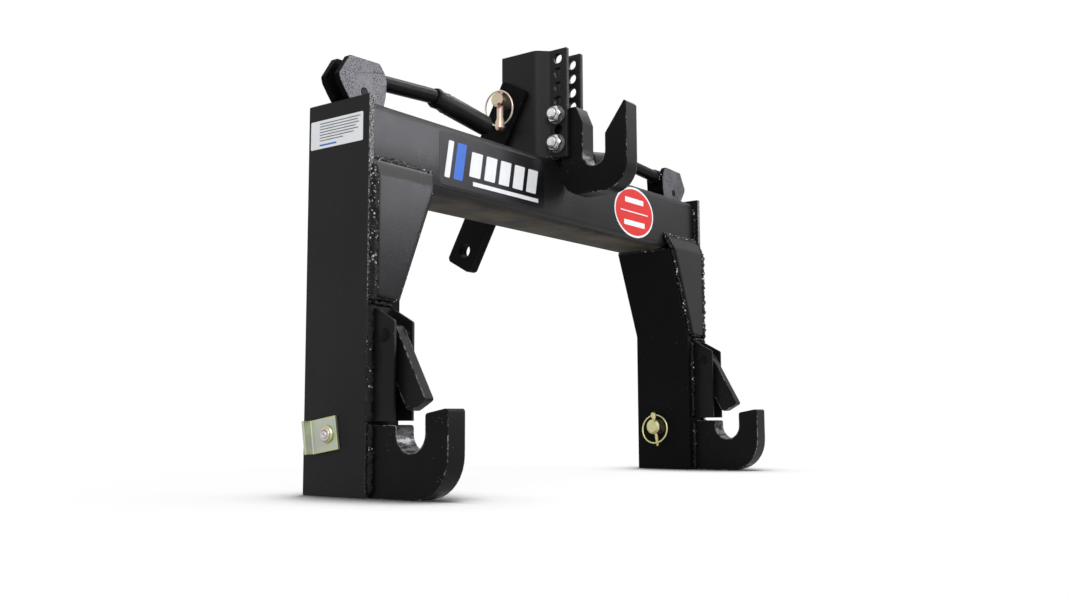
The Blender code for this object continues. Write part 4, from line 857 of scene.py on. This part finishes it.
def tile(name, place, size, finish, slant=0.0, turn=0.0, corner=0.0006, level=0):
    """Flat patch of film, centred on a place and facing the front, or turned about the upright."""
    width, height = size
    deselect()
    bpy.ops.mesh.primitive_plane_add(size=1)
    edit()
    bpy.ops.mesh.select_all(action="SELECT")
    bpy.ops.transform.resize(value=(width, height, 1))
    choose("VERT", lambda spot: spot.y > 0)
    bpy.ops.transform.translate(value=(slant, 0, 0))
    bpy.ops.mesh.select_all(action="SELECT")
    bpy.ops.mesh.bevel(offset=corner, segments=3, affect="VERTICES")
    edit(False)
    modify("SOLIDIFY", thickness=FILM, offset=1.0)
    out = Vector((math.sin(turn), -math.cos(turn), 0))
    active().rotation_euler = (math.pi / 2, 0, turn)
    active().location = Vector(place) + out * (FILM_GAP + level * FILM)
    return ride(settle(name), "frame", finish)


def oval(name, place, size, finish, level=0):
    """Oval patch of film that faces the front."""
    deselect()
    bpy.ops.mesh.primitive_circle_add(vertices=96, radius=0.5, fill_type="NGON")
    edit()
    bpy.ops.mesh.select_all(action="SELECT")
    bpy.ops.transform.resize(value=(size[0], size[1], 1))
    edit(False)
    modify("SOLIDIFY", thickness=FILM, offset=1.0)
    active().rotation_euler = (math.pi / 2, 0, 0)
    active().location = Vector(place) + Vector((0, -FILM_GAP - level * FILM, 0))
    return ride(settle(name), "frame", finish)


def add_beam_badge():
    """Plain badge of stripes and blocks on the left half of the beam."""
    middle = (BEAM_LOW.z + BEAM_HIGH.z) / 2

    def at(x, z):
        return x, BEAM_LOW.y, middle + z

    tile("badge_backing", at(-0.1440, 0.0020), (0.200, 0.062), BLACK_FILM, corner=0.006)
    tile("badge_bar", at(-0.2310, 0.0020), (0.0090, 0.0440), WHITE_FILM, slant=0.008,
         corner=0.0015, level=1)
    tile("badge_stripe", at(-0.2120, 0.0020), (0.0160, 0.0440), BLUE_FILM, slant=0.008,
         corner=0.0015, level=1)
    block = tile("badge_block_1", at(-0.1820, 0.0030), (0.0200, 0.0300), WHITE_FILM, slant=0.0055,
                 corner=0.0012, level=1)
    pitch = 0.0274
    for index in range(1, 5):
        twin = copy_of(block, f"badge_block_{index + 1}", (pitch * index, 0, 0))
        ride(twin, "frame", WHITE_FILM)
    tile("badge_rule", at(-0.1210, -0.0200), (0.128, 0.0050), WHITE_FILM, level=1)


def add_oval_badge():
    """Red oval with a white rim and plain bars on the right half of the beam."""
    centre = Vector((0.176, BEAM_LOW.y, (BEAM_LOW.z + BEAM_HIGH.z) / 2))
    oval("oval_rim", centre, (0.106, 0.073), WHITE_FILM)
    oval("oval_field", centre, (0.100, 0.067), RED_FILM, 1)
    for where, rise, size in (("upper", 0.0165, (0.050, 0.0075)), ("middle", 0.0, (0.074, 0.0016)),
                              ("lower", -0.0165, (0.056, 0.0075))):
        tile(f"oval_bar_{where}", centre + Vector((0, 0, rise)), size, WHITE_FILM, level=2)


def add_side_label():
    """White label with plain lines on the outer face of the left side plate."""
    centre = Vector((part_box("left_side_plate")[0].x, FRONT + 0.0498, 0.3845))
    turn = -math.pi / 2
    tile("label_sheet", centre, (0.0800, 0.0310), WHITE_FILM, turn=turn, corner=0.0015)
    for index, width in enumerate((0.062, 0.058, 0.060, 0.055, 0.059, 0.052, 0.036)):
        place = centre + Vector((0, 0.026 - width / 2, 0.0118 - 0.0031 * index))
        tile(f"label_rule_{index + 1}", place, (width, 0.0010), GREY_FILM, turn=turn,
             corner=0.0002, level=1)
    tile("label_foot_rule", centre + Vector((0, 0.013, -0.0118)), (0.026, 0.0017), BLUE_FILM,
         turn=turn, corner=0.0002, level=1)


# Stage

def add_floor():
    """White floor whose camera-seen colour is a glow with a painted soft shadow of the hitch, mixed with
    a little of the lit floor.
    """
    deselect()
    bpy.ops.mesh.primitive_plane_add(size=60)
    floor = settle("floor")
    ground = Finish("floor_white", roughness=0.9)
    ground.set(base_color=(0.86, 0.86, 0.86))
    # Painted shadow: ambient occlusion darkens the glow that the camera sees near the hitch.
    open_share = ground.node("ShaderNodeAmbientOcclusion", {"samples": 8}, {"Distance": 0.11}, "AO")
    near = open_share.ramp(0.54, 0.97)
    across = (ground.axis("X") * ground.axis("X") + ground.axis("Y") * ground.axis("Y")) ** 0.5
    far = across.ramp(0.44, 0.62)
    painted_shadow = ground.mix(near, (0.03, 0.03, 0.03), (1, 1, 1))
    glow = ground.node("ShaderNodeEmission", {}, {"Color": painted_shadow})
    seen = ground.node("ShaderNodeLightPath", {}, {}, "Is Camera Ray")
    lit = Value(ground, ground.shader.outputs[0])
    blend = ground.node("ShaderNodeMixShader", {}, {0: seen * (0.88 + 0.12 * far), 1: lit, 2: glow})
    ground.tree.links.new(blend.socket, ground.tree.nodes["Material Output"].inputs["Surface"])
    floor.data.materials.append(ground.material)


def add_surround():
    """White background for camera and reflections, and a softer level for the light that it gives."""
    world = bpy.data.worlds.new("surround")
    bpy.context.scene.world = world
    world.use_nodes = True
    tree = world.node_tree
    back = tree.nodes["Background"]
    back.inputs["Color"].default_value = (1, 1, 1, 1)
    rays = tree.nodes.new("ShaderNodeLightPath")
    seen = rays.outputs["Is Camera Ray"]
    for ray in ("Is Glossy Ray", "Is Transmission Ray"):
        either = tree.nodes.new("ShaderNodeMath")
        either.operation = "MAXIMUM"
        tree.links.new(seen, either.inputs[0])
        tree.links.new(rays.outputs[ray], either.inputs[1])
        seen = either.outputs[0]
    strength = tree.nodes.new("ShaderNodeMapRange")
    strength.inputs["To Min"].default_value = 0.60
    strength.inputs["To Max"].default_value = 1.0
    tree.links.new(seen, strength.inputs["Value"])
    tree.links.new(strength.outputs["Result"], back.inputs["Strength"])


def lamp(name, place, size, power, colour=(1, 1, 1)):
    """Square lamp that points at the middle of the hitch."""
    light = bpy.data.lights.new(name, "AREA")
    light.color = colour
    light.size = size
    light.energy = power
    obj = bpy.data.objects.new(name, light)
    obj.location = place
    aim = Vector((0, 0, 0.25)) - Vector(place)
    obj.rotation_euler = aim.to_track_quat("-Z", "Y").to_euler()
    bpy.context.scene.collection.objects.link(obj)


def add_camera():
    """Camera as it was fitted to the photo's edges."""
    camera = bpy.data.cameras.new("camera")
    camera.lens = 36.12
    camera.clip_end = 100
    obj = bpy.data.objects.new("camera", camera)
    heading, pitch, roll = math.radians(36.71), math.radians(6.07), math.radians(-0.22)
    turn = (Matrix.Rotation(heading - math.pi / 2, 4, "Z")
            @ Matrix.Rotation(math.pi / 2 + pitch, 4, "X") @ Matrix.Rotation(roll, 4, "Z"))
    obj.matrix_world = Matrix.Translation((-1.1315, -0.7871 + FRONT, 0.0839)) @ turn
    bpy.context.scene.collection.objects.link(obj)
    bpy.context.scene.camera = obj


dress_solids()
add_beads()
add_grips()
add_tang_beads()
add_flag_welds()
add_springs()
add_rings()
add_lock_details()
add_beam_badge()
add_oval_badge()
add_side_label()
add_floor()
add_surround()
lamp("front", (1.56, -2.05, 1.36), 0.9, 39, (0.93, 0.925, 1.0))
lamp("high", (1.45, -0.15, 2.25), 0.9, 22)
lamp("strip", (1.70, -1.40, 1.92), 0.25, 7)
lamp("left", (-2.4, -1.4, 1.6), 1.8, 30)
add_camera()
bpy.context.scene.view_settings.view_transform = "Standard"
